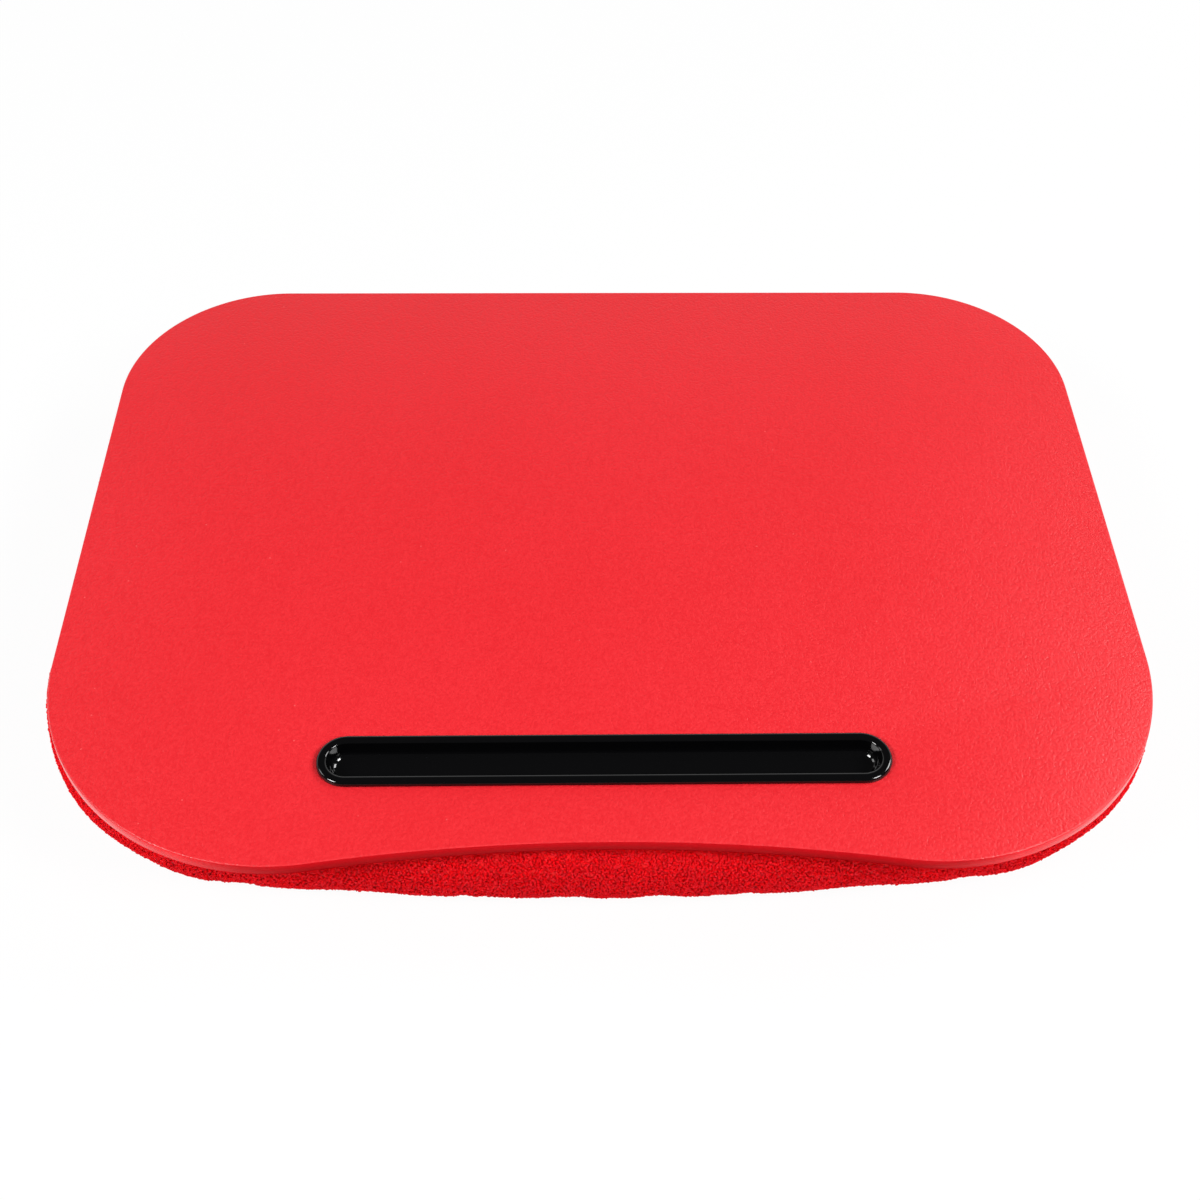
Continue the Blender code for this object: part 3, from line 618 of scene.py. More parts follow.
def part_of(points, faces):
    """The faces with only the points that they use."""
    used = sorted({i for face in faces for i in face})
    index = {old: new for new, old in enumerate(used)}
    return points[used], [tuple(index[i] for i in face) for face in faces]


def closed_up(work, mesh):
    """Writes an edited mesh back."""
    work.to_mesh(mesh)
    work.free()
    return mesh


def link(name, mesh, *finishes):
    """An object for a mesh, a lamp or a camera, with the mesh's materials."""
    made = bpy.data.objects.new(name, mesh)
    bpy.context.scene.collection.objects.link(made)
    for finish in finishes:
        mesh.materials.append(finish)
    return made


def smooth(mesh, angle=40):
    mesh.shade_smooth()
    mesh.set_sharp_from_angle(angle=math.radians(angle))


def solid(name, points, faces, *finishes, angle=40, outward=True):
    """A piece from points and faces."""
    mesh = mesh_of(name, points, faces)
    if outward:
        work = bmesh.new()
        work.from_mesh(mesh)
        bmesh.ops.recalc_face_normals(work, faces=work.faces)
        closed_up(work, mesh)
    smooth(mesh, angle)
    return link(name, mesh, *finishes)


def band_faces(rows, columns, first=0, closed=False):
    """Quads between rings of equally many points. Closed joins the last ring to the first."""
    faces = []
    for r in range(first, rows if closed else rows - 1):
        low, high = r * columns, (r + 1) % rows * columns
        for i in range(columns):
            j = (i + 1) % columns
            faces.append((low + i, low + j, high + j, high + i))
    return faces


def lofted(name, rings, *finishes, angle=40):
    """A closed piece through rings, capped at both ends."""
    columns = len(rings[0])
    last = (len(rings) - 1) * columns
    caps = [tuple(reversed(range(columns))), tuple(range(last, last + columns))]
    faces = band_faces(len(rings), columns) + caps
    return solid(name, np.concatenate(rings), faces, *finishes, angle=angle)


def made_plain(piece):
    """Turns an object with modifiers into a plain mesh object."""
    graph = bpy.context.evaluated_depsgraph_get()
    mesh = bpy.data.meshes.new_from_object(piece.evaluated_get(graph), depsgraph=graph)
    piece.modifiers.clear()
    piece.data = mesh
    return piece


def removed(*pieces):
    for piece in pieces:
        bpy.data.objects.remove(piece)


def joined_pieces(name, pieces):
    """Several mesh objects as one, each part keeping its material."""
    work = bmesh.new()
    finishes = []
    for piece in pieces:
        start = len(work.faces)
        work.from_mesh(piece.data)
        work.faces.ensure_lookup_table()
        finishes += [finish for finish in piece.data.materials if finish not in finishes]
        slots = [finishes.index(finish) for finish in piece.data.materials]
        for face in work.faces[start:]:
            face.material_index = slots[face.material_index]
    removed(*pieces)
    return link(name, closed_up(work, bpy.data.meshes.new(name)), *finishes)


def placed(piece, body, slot, *nodes):
    """Puts a piece on the body that it rides on and hides the nodes that it stands for. The slot, its
    finish in the record, is not used.
    """
    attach(piece, body)
    if nodes:
        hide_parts(*nodes)
    return piece


# Geometry Nodes


def node_group(name, **inputs):
    """A node group with the named inputs, each a label and a kind, and what it is given."""
    tree = bpy.data.node_groups.new(name, "GeometryNodeTree")
    for label, kind in {"Geometry": "Geometry", **inputs, "Finish": "Material"}.items():
        socket = label.replace("_", " ")
        tree.interface.new_socket(socket, in_out="INPUT", socket_type=f"NodeSocket{kind}")
    tree.interface.new_socket("Geometry", in_out="OUTPUT", socket_type="NodeSocketGeometry")
    return tree, node(tree, "NodeGroupInput", {})


def close_group(tree, given, geometry):
    """Ends a group: real geometry, shaded smooth, in its material."""
    real = node(tree, REALIZE, {0: geometry})[0]
    even = node(tree, "GeometryNodeSetShadeSmooth", {0: real})[0]
    finish = {"Geometry": even, "Material": given["Finish"]}
    coloured = node(tree, "GeometryNodeSetMaterial", finish)[0]
    node(tree, "NodeGroupOutput", {"Geometry": coloured})
    return tree


def scattered(tree, given):
    """Points spread evenly at random on the given surface, no closer than the spacing."""
    squared = node(tree, MATH, {0: given["Spacing"], 1: 2.0}, operation="POWER")[0]
    dense = node(tree, MATH, {0: 1.6, 1: squared}, operation="DIVIDE")[0]
    limits = {"Distance Min": given["Spacing"], "Density Max": dense, "Seed": given["Seed"]}
    return node(tree, SCATTER, {"Mesh": given["Geometry"], **limits}, distribute_method="POISSON")


def random_spin(tree, most, seed):
    """A turn about the upright axis, at random up to the most."""
    turn = node(tree, RANDOM, {2: 0.0, 3: most, "Seed": seed}, data_type="FLOAT")[1]
    return node(tree, COMBINE, {"Z": turn})[0]


def shapes_on(tree, given, points, turned):
    """Ends a group that puts its shape on points, turned as given."""
    shape = node(tree, "GeometryNodeObjectInfo", {"Object": given["Shape"]})["Geometry"]
    stand = {"Points": points, "Instance": shape, "Rotation": turned}
    return close_group(tree, given, node(tree, PLACE_ON, stand)[0])


def grown(name, surface, tree, values):
    """The plain mesh that a node group makes on a surface, with the group's inputs set by name."""
    carrier = link(name, surface)
    modifier = carrier.modifiers.new(name, "NODES")
    modifier.node_group = tree
    for item in tree.interface.items_tree:
        if item.in_out == "INPUT" and item.name in values:
            modifier[item.identifier] = values[item.name]
    return made_plain(carrier)


def pile_group():
    """Tufts scattered on a surface, each leaning its own way, kept off the slot and between two
    levels."""
    labels = "Spacing Length Width Lean Slot_Half_Length Slot_Level Slot_Clear_Radius Lowest Highest"
    numbers = dict.fromkeys(labels.split(), "Float")
    tree, given = node_group("plush_pile", **numbers, Nap="Vector", Tufts="Collection", Seed="Int")
    points = scattered(tree, given)

    spot = node(tree, SPLIT, {0: node(tree, POSITION, {})[0]})
    sideways = node(tree, MATH, {0: spot["X"]}, operation="ABSOLUTE")[0]
    past = node(tree, MATH, {0: sideways, 1: given["Slot Half Length"]}, operation="SUBTRACT")[0]
    past = node(tree, MATH, {0: past, 1: 0.0}, operation="MAXIMUM")[0]
    above = node(tree, MATH, {0: spot["Z"], 1: given["Slot Level"]}, operation="SUBTRACT")[0]
    away = node(tree, COMBINE, {0: past, 1: above})[0]
    distance = node(tree, VECTOR_MATH, {0: away}, operation="LENGTH")["Value"]
    limit = {0: distance, 1: given["Slot Clear Radius"]}
    at_slot = node(tree, MATH, limit, operation="LESS_THAN")[0]
    bare = {0: points["Points"], 1: at_slot}
    kept = node(tree, "GeometryNodeDeleteGeometry", bare, domain="POINT")[0]

    store = {"Geometry": kept, "Name": "pile_facing", "Value": points["Normal"]}
    kept = node(tree, STORE, store, data_type="FLOAT_VECTOR", domain="POINT")[0]

    lean = node(tree, VECTOR_MATH, {0: (1, 1, 1), "Scale": given["Lean"]}, operation="SCALE")[0]
    other = node(tree, VECTOR_MATH, {0: lean, "Scale": -1.0}, operation="SCALE")[0]
    leans = {0: other, 1: lean, "Seed": given["Seed"]}
    stray = node(tree, RANDOM, leans, data_type="FLOAT_VECTOR")[0]
    heading = node(tree, VECTOR_MATH, {0: points["Normal"], 1: stray}, operation="ADD")[0]
    heading = node(tree, VECTOR_MATH, {0: heading, 1: given["Nap"]}, operation="ADD")[0]
    upright = node(tree, ALIGN, {"Vector": heading}, axis="Z")[0]
    spin = random_spin(tree, 2 * math.pi, SPIN_SEED)
    turned = node(tree, ROTATE, {0: upright, 1: spin}, rotation_space="LOCAL")[0]
    small, large = TUFT_SIZES
    size = node(tree, RANDOM, {2: small, 3: large, "Seed": SIZE_SEED}, data_type="FLOAT")[1]
    wide = node(tree, MATH, {0: size, 1: given["Width"]}, operation="MULTIPLY")[0]
    tall = node(tree, MATH, {0: size, 1: given["Length"]}, operation="MULTIPLY")[0]
    scale = node(tree, COMBINE, {0: wide, 1: wide, 2: tall})[0]
    choice = node(tree, RANDOM, {4: 0, 5: TUFT_KINDS - 1, "Seed": KIND_SEED}, data_type="INT")[2]
    shapes = {"Collection": given["Tufts"], "Separate Children": True, "Reset Children": True}
    tufts = node(tree, "GeometryNodeCollectionInfo", shapes)[0]
    stand = {"Points": kept, "Instance": tufts, "Pick Instance": True, "Instance Index": choice}
    standing = node(tree, PLACE_ON, {**stand, "Rotation": turned, "Scale": scale})[0]
    tone = node(tree, RANDOM, {2: 0.0, 3: 1.0, "Seed": TONE_SEED}, data_type="FLOAT")[1]
    store = {"Geometry": standing, "Name": "tuft_tone", "Value": tone}
    toned = node(tree, STORE, store, domain="INSTANCE")[0]

    real = node(tree, REALIZE, {0: toned})[0]
    at = node(tree, SPLIT, {0: node(tree, POSITION, {})[0]})
    level = node(tree, MATH, {0: at["Z"], 1: given["Lowest"]}, operation="MAXIMUM")[0]
    level = node(tree, MATH, {0: level, 1: given["Highest"]}, operation="MINIMUM")[0]
    pressed = node(tree, COMBINE, {0: at["X"], 1: at["Y"], 2: level})[0]
    settled = node(tree, "GeometryNodeSetPosition", {"Geometry": real, "Position": pressed})[0]
    return close_group(tree, given, settled)


def repeat_group():
    """One shape repeated on the points of a mesh, each turned at random by up to a given angle."""
    tree, given = node_group("repeat_on_points", Shape="Object", Turn="Float", Seed="Int")
    return shapes_on(tree, given, given["Geometry"], random_spin(tree, given["Turn"], given["Seed"]))


def scatter_group():
    """One shape scattered on a surface, standing on it and turned at random."""
    tree, given = node_group("scatter_on_surface", Shape="Object", Spacing="Float", Seed="Int")
    points = scattered(tree, given)
    turns = {0: points["Rotation"], 1: random_spin(tree, 2 * math.pi, SCATTER_SEED)}
    turned = node(tree, ROTATE, turns, rotation_space="LOCAL")[0]
    return shapes_on(tree, given, points["Points"], turned)


def stitch_group():
    """Stitches along a line of edges, each lying along the line."""
    tree, given = node_group("stitch_row", Shape="Object", Pitch="Float")
    line = node(tree, "GeometryNodeMeshToCurve", {0: given["Geometry"]})[0]
    pitch = {"Curve": line, "Length": given["Pitch"]}
    spots = node(tree, "GeometryNodeCurveToPoints", pitch, mode="LENGTH")
    along = node(tree, ALIGN, {"Vector": spots["Tangent"]}, axis="X")[0]
    return shapes_on(tree, given, spots["Points"], along)


def stitched(name, points, finish, stitching):
    """A closed row of stitches through points. A stitch is a rounded length of thread that dips at
    both ends."""
    rings = []
    for t in np.linspace(-1, 1, STITCH_RINGS):
        x, radius = t * STITCH_LENGTH / 2, THREAD_RADIUS * math.sqrt(max(1 - t**4, 0.03))
        lift = THREAD_RADIUS * (0.6 - 1.3 * t * t)
        section = [(x, radius * math.cos(a), lift + radius * math.sin(a)) for a in round_turns(5)]
        rings.append(np.array(section))
    stitch = lofted("stitch_shape", rings, angle=80)
    count = len(points)
    row = mesh_of(f"{name}_row", points, edges=[(i, (i + 1) % count) for i in range(count)])
    values = {"Shape": stitch, "Pitch": STITCH_PITCH, "Finish": finish}
    sewn = grown(f"{name}_stitches", row, stitching, values)
    removed(stitch)
    return sewn


# Deck


def slab_rings(outline, low, high, under, top, bulge, outward):
    """Rings of a slab, or of a hole through it, whose under and top edges are rounded and whose side
    stands out in the middle by the bulge."""
    turns = np.linspace(0, QUARTER, ARRIS_STEPS + 1)
    rise = [(bulge + under * (1 - math.sin(a)), low + under * (1 - math.cos(a))) for a in turns]
    fall = [(bulge + top * (1 - math.sin(a)), high - top * (1 - math.cos(a))) for a in turns[::-1]]
    (_, foot), (_, head) = rise[-1], fall[0]
    shares = np.linspace(0, 1, EDGE_STEPS + 1)[1:-1]
    side = [(bulge * (2 * t - 1) ** 2, foot + (head - foot) * t) for t in shares]
    section = rise + side * bool(bulge) + fall
    return [ring(outline, inset * outward, level) for inset, level in section]


def make_board(top_finish, edge_finish):
    """The board with its slot: rounded arrises, flat faces filled between the outline and the slot."""
    width = BOARD_HIGH.x - BOARD_LOW.x
    radii = BOARD_FRONT_RADIUS, BOARD_BACK_RADIUS
    sizes = width, BOARD_LOW.y, BOARD_HIGH.y, *radii, BOARD_STEP
    outline = rounded_outline(*sizes, front_rise=-BOARD_FRONT_HOLLOW)
    slot_points, slot_normals = tray_outline()
    rim_cover = PEN_RIM_WIDTH - PEN_WALL - PEN_SEAT_GAP
    slot = (slot_points - slot_normals * rim_cover, slot_normals)
    work = bmesh.new()
    ends = ([], [])
    for edge in (
        (outline, BOARD_LOW.z, BOARD_HIGH.z, BOARD_ARRIS_UNDER, BOARD_ARRIS_TOP, BOARD_EDGE_BULGE, 1),
        (slot, BOARD_LOW.z, BOARD_HIGH.z, SLOT_ARRIS, SLOT_ARRIS, 0, -1),
    ):
        rows = [[work.verts.new(p) for p in points] for points in slab_rings(*edge)]
        for low, high in zip(rows, rows[1:]):
            for i in range(len(low)):
                j = (i + 1) % len(low)
                work.faces.new((low[i], low[j], high[j], high[i]))
        for loop, found in ((rows[0], ends[0]), (rows[-1], ends[1])):
            count = len(loop)
            found += [work.edges.get((loop[i], loop[(i + 1) % count])) for i in range(count)]
    for edges, facing in zip(ends, (-1, 1)):
        bmesh.ops.triangle_fill(work, use_beauty=True, edges=edges, normal=(0, 0, facing))
    bmesh.ops.recalc_face_normals(work, faces=work.faces)
    lowest, highest = EDGE_TILTS
    for face in work.faces:
        face.material_index = int(lowest < face.normal.z < highest)
    mesh = closed_up(work, bpy.data.meshes.new("board"))
    smooth(mesh, 30)
    placed(link("board", mesh, top_finish, edge_finish), "deck", "red_paint", "deck_board")


def tray_outline():
    centre = (TRAY_LOW + TRAY_HIGH) / 2
    length, width = TRAY_HIGH.x - TRAY_LOW.x, TRAY_HIGH.y - TRAY_LOW.y
    return moved(stadium(length, width, PEN_STEP), (centre.x, centre.y))


def fillet(inset, level, radius, start, end, steps):
    """Points of a round in a section of inset and level."""
    turns = np.linspace(start, end, steps + 1)
    return [(inset + radius * math.cos(a), level + radius * math.sin(a)) for a in turns]


def tray_section():
    """The pen tray's section as inset from its edge and level, from the middle of the trough over the
    rim to the middle of the underside."""
    floor = TRAY_LOW.z + PEN_WALL
    wall_foot = PEN_RIM_WIDTH + (TRAY_HIGH.z - floor) * math.tan(PEN_DRAFT)
    turn = wall_foot + PEN_FLOOR_FILLET * math.tan(math.pi / 4 - PEN_DRAFT / 2)
    centre = floor + PEN_FLOOR_FILLET
    wall = -math.pi + PEN_DRAFT
    trough = fillet(turn, centre, PEN_FLOOR_FILLET, -QUARTER, wall, PEN_ROUND_STEPS)
    lip_inset, lip_level = PEN_RIM_WIDTH - PEN_RIM_ARCH, TRAY_HIGH.z - PEN_RIM_LIP
    lip = [
        (lip_inset + PEN_RIM_ARCH * math.cos(a), lip_level + PEN_RIM_LIP * math.sin(a))
        for a in np.linspace(0, QUARTER, 2 * PEN_ROUND_STEPS)
    ]
    shoulder = lip_inset - PEN_RIM_CREST
    foot = BOARD_HIGH.z + PEN_SEAT_GAP
    roll = []
    for a in np.linspace(QUARTER, 0, 2 * PEN_ROUND_STEPS):
        out, up = (max(share, 0) ** (2 / PEN_RIM_ROLL) for share in (math.cos(a), math.sin(a)))
        roll.append((shoulder * (1 - out), foot + (TRAY_HIGH.z - foot) * up))
    skirt = [(PEN_RIM_WIDTH - PEN_WALL, foot)]
    outer = PEN_FLOOR_FILLET + PEN_WALL
    under = fillet(turn, centre, outer, wall, -QUARTER, PEN_ROUND_STEPS)
    return trough + lip + roll + skirt + under


def make_pen_tray(finish):
    outline = tray_outline()
    rings = [ring(outline, inset, level) for inset, level in tray_section()]
    tray = lofted("moulded_pen_tray", rings, finish, angle=35)
    placed(tray, "pen_tray", "black_gloss", "pen_tray")


# Hook-and-loop patches


def wire(path, radius, sides=3):
    """Rings of a thin wire along a path in the X-Z plane."""
    path = np.array(path)
    heading = np.gradient(path, axis=0)
    heading /= np.linalg.norm(heading, axis=1)[:, None]
    section = [(radius * math.cos(a), radius * math.sin(a)) for a in round_turns(sides)]
    rings = []
    for (x, z), (along_x, along_z) in zip(path, heading):
        rings.append(np.array([(x - along_z * c, s, z + along_x * c) for c, s in section]))
    return rings


def patches(kind):
    """Each patch of a kind: the node's name, the patch's outline, and its box."""
    for name in sorted(n for n in frame["nodes"] if n.startswith(kind)):
        low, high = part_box(name)
        half = (high.y - low.y) / 2
        sizes = high.x - low.x, -half, half, PATCH_RADIUS, PATCH_RADIUS, PATCH_STEP
        centre = (low + high) / 2
        yield name, moved(rounded_outline(*sizes), (centre.x, centre.y)), low, high


def grid_in_patch(low, high, pitch):
    """Points of a square grid that keeps clear of the patch's rounded corners."""
    edge = PATCH_RADIUS / 2
    found = []
    for x in np.arange(low.x + edge / 2, high.x - edge / 2, pitch):
        for y in np.arange(low.y + edge / 2, high.y - edge / 2, pitch):
            dx = max(low.x + edge - x, x - high.x + edge, 0)
            dy = max(low.y + edge - y, y - high.y + edge, 0)
            if math.hypot(dx, dy) < edge:
                found.append((x, y))
    return found


def patch_height(node_name):
    """How high the wires of a patch stand above its ground."""
    low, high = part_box(node_name)
    return high.z - low.z - TAPE_GROUND


def hook_shape():
    """A stem that leans over into a hook, hanging down from its ground."""
    height = patch_height("hook_patch_back_left") - HOOK_WIRE
    bend = height * HOOK_BEND
    stem = height - bend
    turns = np.linspace(*HOOK_TURNS, 5)
    path = [(0, 0), (0, -stem / 2), (0, -stem)]
    path += [(bend * (1 - math.cos(a)), -stem - bend * math.sin(a)) for a in turns]
    return lofted("hook_shape", wire(path, HOOK_WIRE))


def loop_shape():
    """A soft loop of thread, a little squashed."""
    height = patch_height("loop_patch_back_left")
    middle = height * LOOP_MIDDLE
    turns = np.linspace(-LOOP_PAST_HALF, math.pi + LOOP_PAST_HALF, 9)
    rise = [middle + (height - middle) * math.sin(a) * LOOP_PRESSED for a in turns]
    path = [(LOOP_RADIUS * math.cos(a), z) for a, z in zip(turns, rise)]
    return lofted("loop_shape", wire(path, LOOP_WIRE))


def make_hook_patches(ground, wires, repeat):
    shape = hook_shape()
    for name, outline, low, high in patches("hook_patch"):
        level = high.z - TAPE_GROUND
        base = lofted(f"{name}_ground", [ring(outline, 0, z) for z in (level, high.z)], ground)
        spots = [(x, y, level) for x, y in grid_in_patch(low, high, HOOK_PITCH)]
        values = {"Shape": shape, "Turn": HOOK_SWAY, "Seed": HOOK_SEED, "Finish": wires}
        hooks = grown(f"{name}_hooks", mesh_of(f"{name}_spots", spots), repeat, values)
        placed(joined_pieces(f"hook_tape_{name[11:]}", [base, hooks]), "deck", "black_tape", name)
    removed(shape)


def make_loop_patches(ground, wires, thread, scatter, stitching):
    shape = loop_shape()
    for name, outline, low, _ in patches("loop_patch"):
        level = low.z + TAPE_GROUND
        base = lofted(f"{name}_ground", [ring(outline, 0, z) for z in (low.z, level)], ground)
        area = ring(outline, LOOP_FIELD_INSET, level)
        top = mesh_of(f"{name}_top", area, [tuple(range(len(area)))])
        values = {"Shape": shape, "Spacing": LOOP_SPACING, "Seed": LOOP_SEED, "Finish": wires}
        loops = grown(f"{name}_loops", top, scatter, values)
        seam = ring(outline, PATCH_SEAM_INSET, level + THREAD_RADIUS / 2)
        parts = [base, loops, stitched(name, seam, thread, stitching)]
        placed(joined_pieces(f"loop_tape_{name[11:]}", parts), "cushion", "black_tape", name)
    removed(shape)


# Cushion surface: rings round it, and a grid in the middle of its underside and of its top


def cushion_plan():
    """The line that the cushion's rounded side swings about, as evenly spaced points and normals. Its
    four sides start in the middle of the corners."""
    radii = CUSHION_CORNER_RADIUS, CUSHION_CORNER_RADIUS
    bows = {"front_rise": CUSHION_FRONT_BOW, "side_rise": -CUSHION_SIDE_DRAW}
    sizes = CUSHION_WIDTH, CUSHION_FRONT, CUSHION_BACK, *radii, CUSHION_STEP
    points, normals = rounded_outline(*sizes, **bows)
    angles = np.unwrap(np.arctan2(normals[:, 1], normals[:, 0]))
    starts = [int(np.argmin(np.abs(angles - math.radians(45 + 90 * k)))) for k in range(4)]
    count = len(points)
    starts.append(starts[0] + count)
    sides = []
    for k, steps in enumerate((LONG_SIDE_STEPS, SHORT_SIDE_STEPS) * 2):
        index = np.arange(starts[k], starts[k + 1] + 1) % count
        sides.append(respaced(points[index], normals[index], count=steps))
    points, normals = joined(sides)
    return points - normals * NOSE_RADIUS, normals


class CushionSurface:
    """The cushion's skin. Depth says how far below the cushion's outside it lies, at the underside,
    round the side, at the seam of the top panel and on that panel."""

    def __init__(self, under, side, seam, panel):
        self.plan = cushion_plan()
        self.columns = len(self.plan[0])
        rings = []
        swing = BOTTOM_CROWN + BOTTOM_FLAT_CUT
        flat_turn = math.acos(2 * BOTTOM_FLAT_CUT / swing - 1)
        for share in np.linspace(1, 0, UNDER_RINGS + 1)[:-1]:
            turn = flat_turn * share
            level = swing * (1 + math.cos(turn)) / 2 - BOTTOM_FLAT_CUT
            depth = under + (side - under) * max(0.0, 1 - 2 * share)
            rings.append(ring(self.plan, BOTTOM_CROWN_REACH * turn / math.pi, level + depth))
        self.nose_start = len(rings)
        radius = NOSE_RADIUS - side
        for angle in np.linspace(-QUARTER, QUARTER, NOSE_STEPS + 1):
            level = NOSE_LEVEL + radius * math.sin(angle)
            rings.append(ring(self.plan, -radius * math.cos(angle), level))
        for inset in COVER_INSETS:
            rings.append(self.top_ring(inset, side + (seam - side) * inset / SEAM_INSET))
        self.seam_row = len(rings) - 1
        for inset in PANEL_INSETS:
            share = min(1, (inset - SEAM_INSET - SEAM_GAP) / SEAM_STEP)
            rings.append(self.top_ring(inset, seam + (panel - seam) * math.sin(QUARTER * share)))
        self.rows = len(rings)
        under_grid, top_grid = coons_patch(rings[0]), coons_patch(rings[-1])
        self.points = np.concatenate(rings + [under_grid, top_grid])
        self.under_start = self.rows * self.columns
        self.top_start = self.under_start + len(under_grid)

    def top_ring(self, inset, depth):
        turn = math.pi * min(inset / TOP_CROWN_REACH, 1)
        crown = TOP_CROWN * (1 - math.cos(turn)) / 2
        return ring(self.plan, inset, PANEL_TOP - TOP_CROWN + crown - depth)

    def row(self, number):
        """Where a row's points stand among all the points."""
        return slice(number * self.columns, (number + 1) * self.columns)

    def bands(self, first, last):
        """Quads between two rows, all round, with the outside facing out."""
        return band_faces(last + 1, self.columns, first=first)

    def under_faces(self):
        return patch_faces(0, self.under_start)

    def top_faces(self):
        faces = patch_faces(self.row(self.rows - 1).start, self.top_start)
        return [face[::-1] for face in faces]

    def faces(self):
        return self.bands(0, self.rows - 1) + self.under_faces() + self.top_faces()


def patch_sides():
    """Index arrays of the ring's points along the back, the left, the front and the right."""
    corners = np.cumsum([0, LONG_SIDE_STEPS, SHORT_SIDE_STEPS, LONG_SIDE_STEPS, SHORT_SIDE_STEPS])
    return [np.arange(start, end + 1) % corners[-1] for start, end in zip(corners, corners[1:])]


def coons_patch(points):
    """The inner points of a grid stretched over a ring: rows along the back and front, from right to
    left."""
    back, left, front, right = patch_sides()
    u = np.linspace(0, 1, LONG_SIDE_STEPS + 1)[1:-1, None, None]
    v = np.linspace(0, 1, SHORT_SIDE_STEPS + 1)[None, 1:-1, None]
    near, far = points[front[::-1]][1:-1, None], points[back][1:-1, None]
    west, east = points[left][None, 1:-1], points[right[::-1]][None, 1:-1]
    flat = (1 - u) * (1 - v) * points[back[0]] + u * (1 - v) * points[back[-1]]
    flat = flat + (1 - u) * v * points[front[-1]] + u * v * points[front[0]]
    grid = (1 - v) * far + v * near + (1 - u) * east + u * west - flat
    return grid.reshape(-1, 3)


def patch_faces(ring_start, inner_start):
    """Quads of the grid over a ring, facing down."""
    back, left, front, right = patch_sides()
    n, m = LONG_SIDE_STEPS, SHORT_SIDE_STEPS

    def at(i, j):
        if j == 0:
            return ring_start + int(back[i])
        if j == m:
            return ring_start + int(front[n - i])
        if i == n:
            return ring_start + int(left[j])
        if i == 0:
            return ring_start + int(right[m - j])
        return inner_start + (i - 1) * (m - 1) + j - 1

    places = [(i, j) for i in range(n) for j in range(m)]
    return [(at(i, j), at(i + 1, j), at(i + 1, j + 1), at(i, j + 1)) for i, j in places]


# Cushion: cover, pile and bead bag


def puffed(surface):
    """Blows the skin up with the cloth simulation, its panel and its flat middle held. The wrinkles
    that it finds are kept, up to a limit, and its long waves are left out, so the outline stays."""
    skin = solid("cushion_skin", surface.points, surface.faces(), outward=False)
    held = skin.vertex_groups.new(name="held")
    count = len(surface.points)
    held.add(list(range(surface.row(surface.seam_row).start, count)), 1.0, "REPLACE")
    held.add(list(range(surface.columns)), 1.0, "REPLACE")
    facing, spots = np.empty(3 * count), np.empty(3 * count)
    skin.data.vertices.foreach_get("normal", facing)
    facing = facing.reshape(-1, 3)
    settings = skin.modifiers.new("puff", "CLOTH").settings
    for name, value in CLOTH.items():
        setattr(settings, name, value)
    settings.effector_weights.gravity = 0
    for step in range(1, PUFF_STEPS + 1):
        bpy.context.scene.frame_set(step)
    blown = skin.evaluated_get(bpy.context.evaluated_depsgraph_get())
    blown.to_mesh().vertices.foreach_get("co", spots)
    blown.to_mesh_clear()
    bpy.context.scene.frame_set(1)
    removed(skin)
    out = ((spots.reshape(-1, 3) - surface.points) * facing).sum(axis=1)
    for number in range(surface.seam_row):
        waves = np.fft.rfft(out[surface.row(number)])
        waves[:LONG_WAVES] = 0
        out[surface.row(number)] = np.fft.irfft(waves, surface.columns)
    return surface.points + facing * (PUFF_LIMIT * np.tanh(out / PUFF_LIMIT))[:, None]


def puckered(surface, points):
    """Gathers the cloth beside the top panel's seam into small folds."""
    generator = np.random.default_rng(PUCKER_SEED)
    spread = np.linspace(0, 2 * math.pi, surface.columns, endpoint=False)
    total = np.linalg.norm(np.diff(surface.plan[0], axis=0), axis=1).sum()
    wave = np.zeros(surface.columns)
    for share in PUCKER_SHARES:
        turns = round(total / PUCKER_LENGTH * share)
        wave += np.cos(spread * turns + generator.uniform(0, 2 * math.pi)) / len(PUCKER_SHARES)
    changed = points.copy()
    for number in range(surface.seam_row - PUCKER_ROWS, surface.seam_row + PUCKER_ROWS):
        near = 1 - abs(number - surface.seam_row - 0.5) / (PUCKER_ROWS + 1)
        changed[surface.row(number), 2] += SEAM_PUCKER * wave * near
    return changed


def shell(name, points, faces, thickness, finish):
    """A skin with a wall of cloth inside it."""
    piece = solid(name, *part_of(points, faces), finish, outward=False)
    wall = piece.modifiers.new("wall", "SOLIDIFY")
    wall.thickness = thickness
    wall.offset = -1
    wall.use_rim = True
    return made_plain(piece)


def tuft_shapes():
    """A few tufts of unit length and width: blunt clumps of fibres that bend over."""
    group = bpy.data.collections.new("tuft_shapes")
    for k, bend in enumerate(np.linspace(*TUFT_BENDS, TUFT_KINDS)):
        turns = [2 * math.pi / 3 * j + TUFT_TWIST * k for j in range(3)]
        points, heights = [], []
        for height, radius in TUFT_SECTIONS:
            lean = bend * height**2
            long, short = (share * radius for share in TUFT_OVAL)
            points += [(long * math.cos(a) + lean, short * math.sin(a), height) for a in turns]
            heights += [height] * 3
        points.append((bend, 0, 1))
        heights.append(1)
        faces = band_faces(2, 3) + [(3 + j, 3 + (j + 1) % 3, 6) for j in range(3)] + [(2, 1, 0)]
        piece = solid(f"tuft_{k}", points, faces, angle=180)
        attribute = piece.data.attributes.new("tuft_height", "FLOAT", "POINT")
        attribute.data.foreach_set("value", heights)
        bpy.context.scene.collection.objects.unlink(piece)
        group.objects.link(piece)
    return group


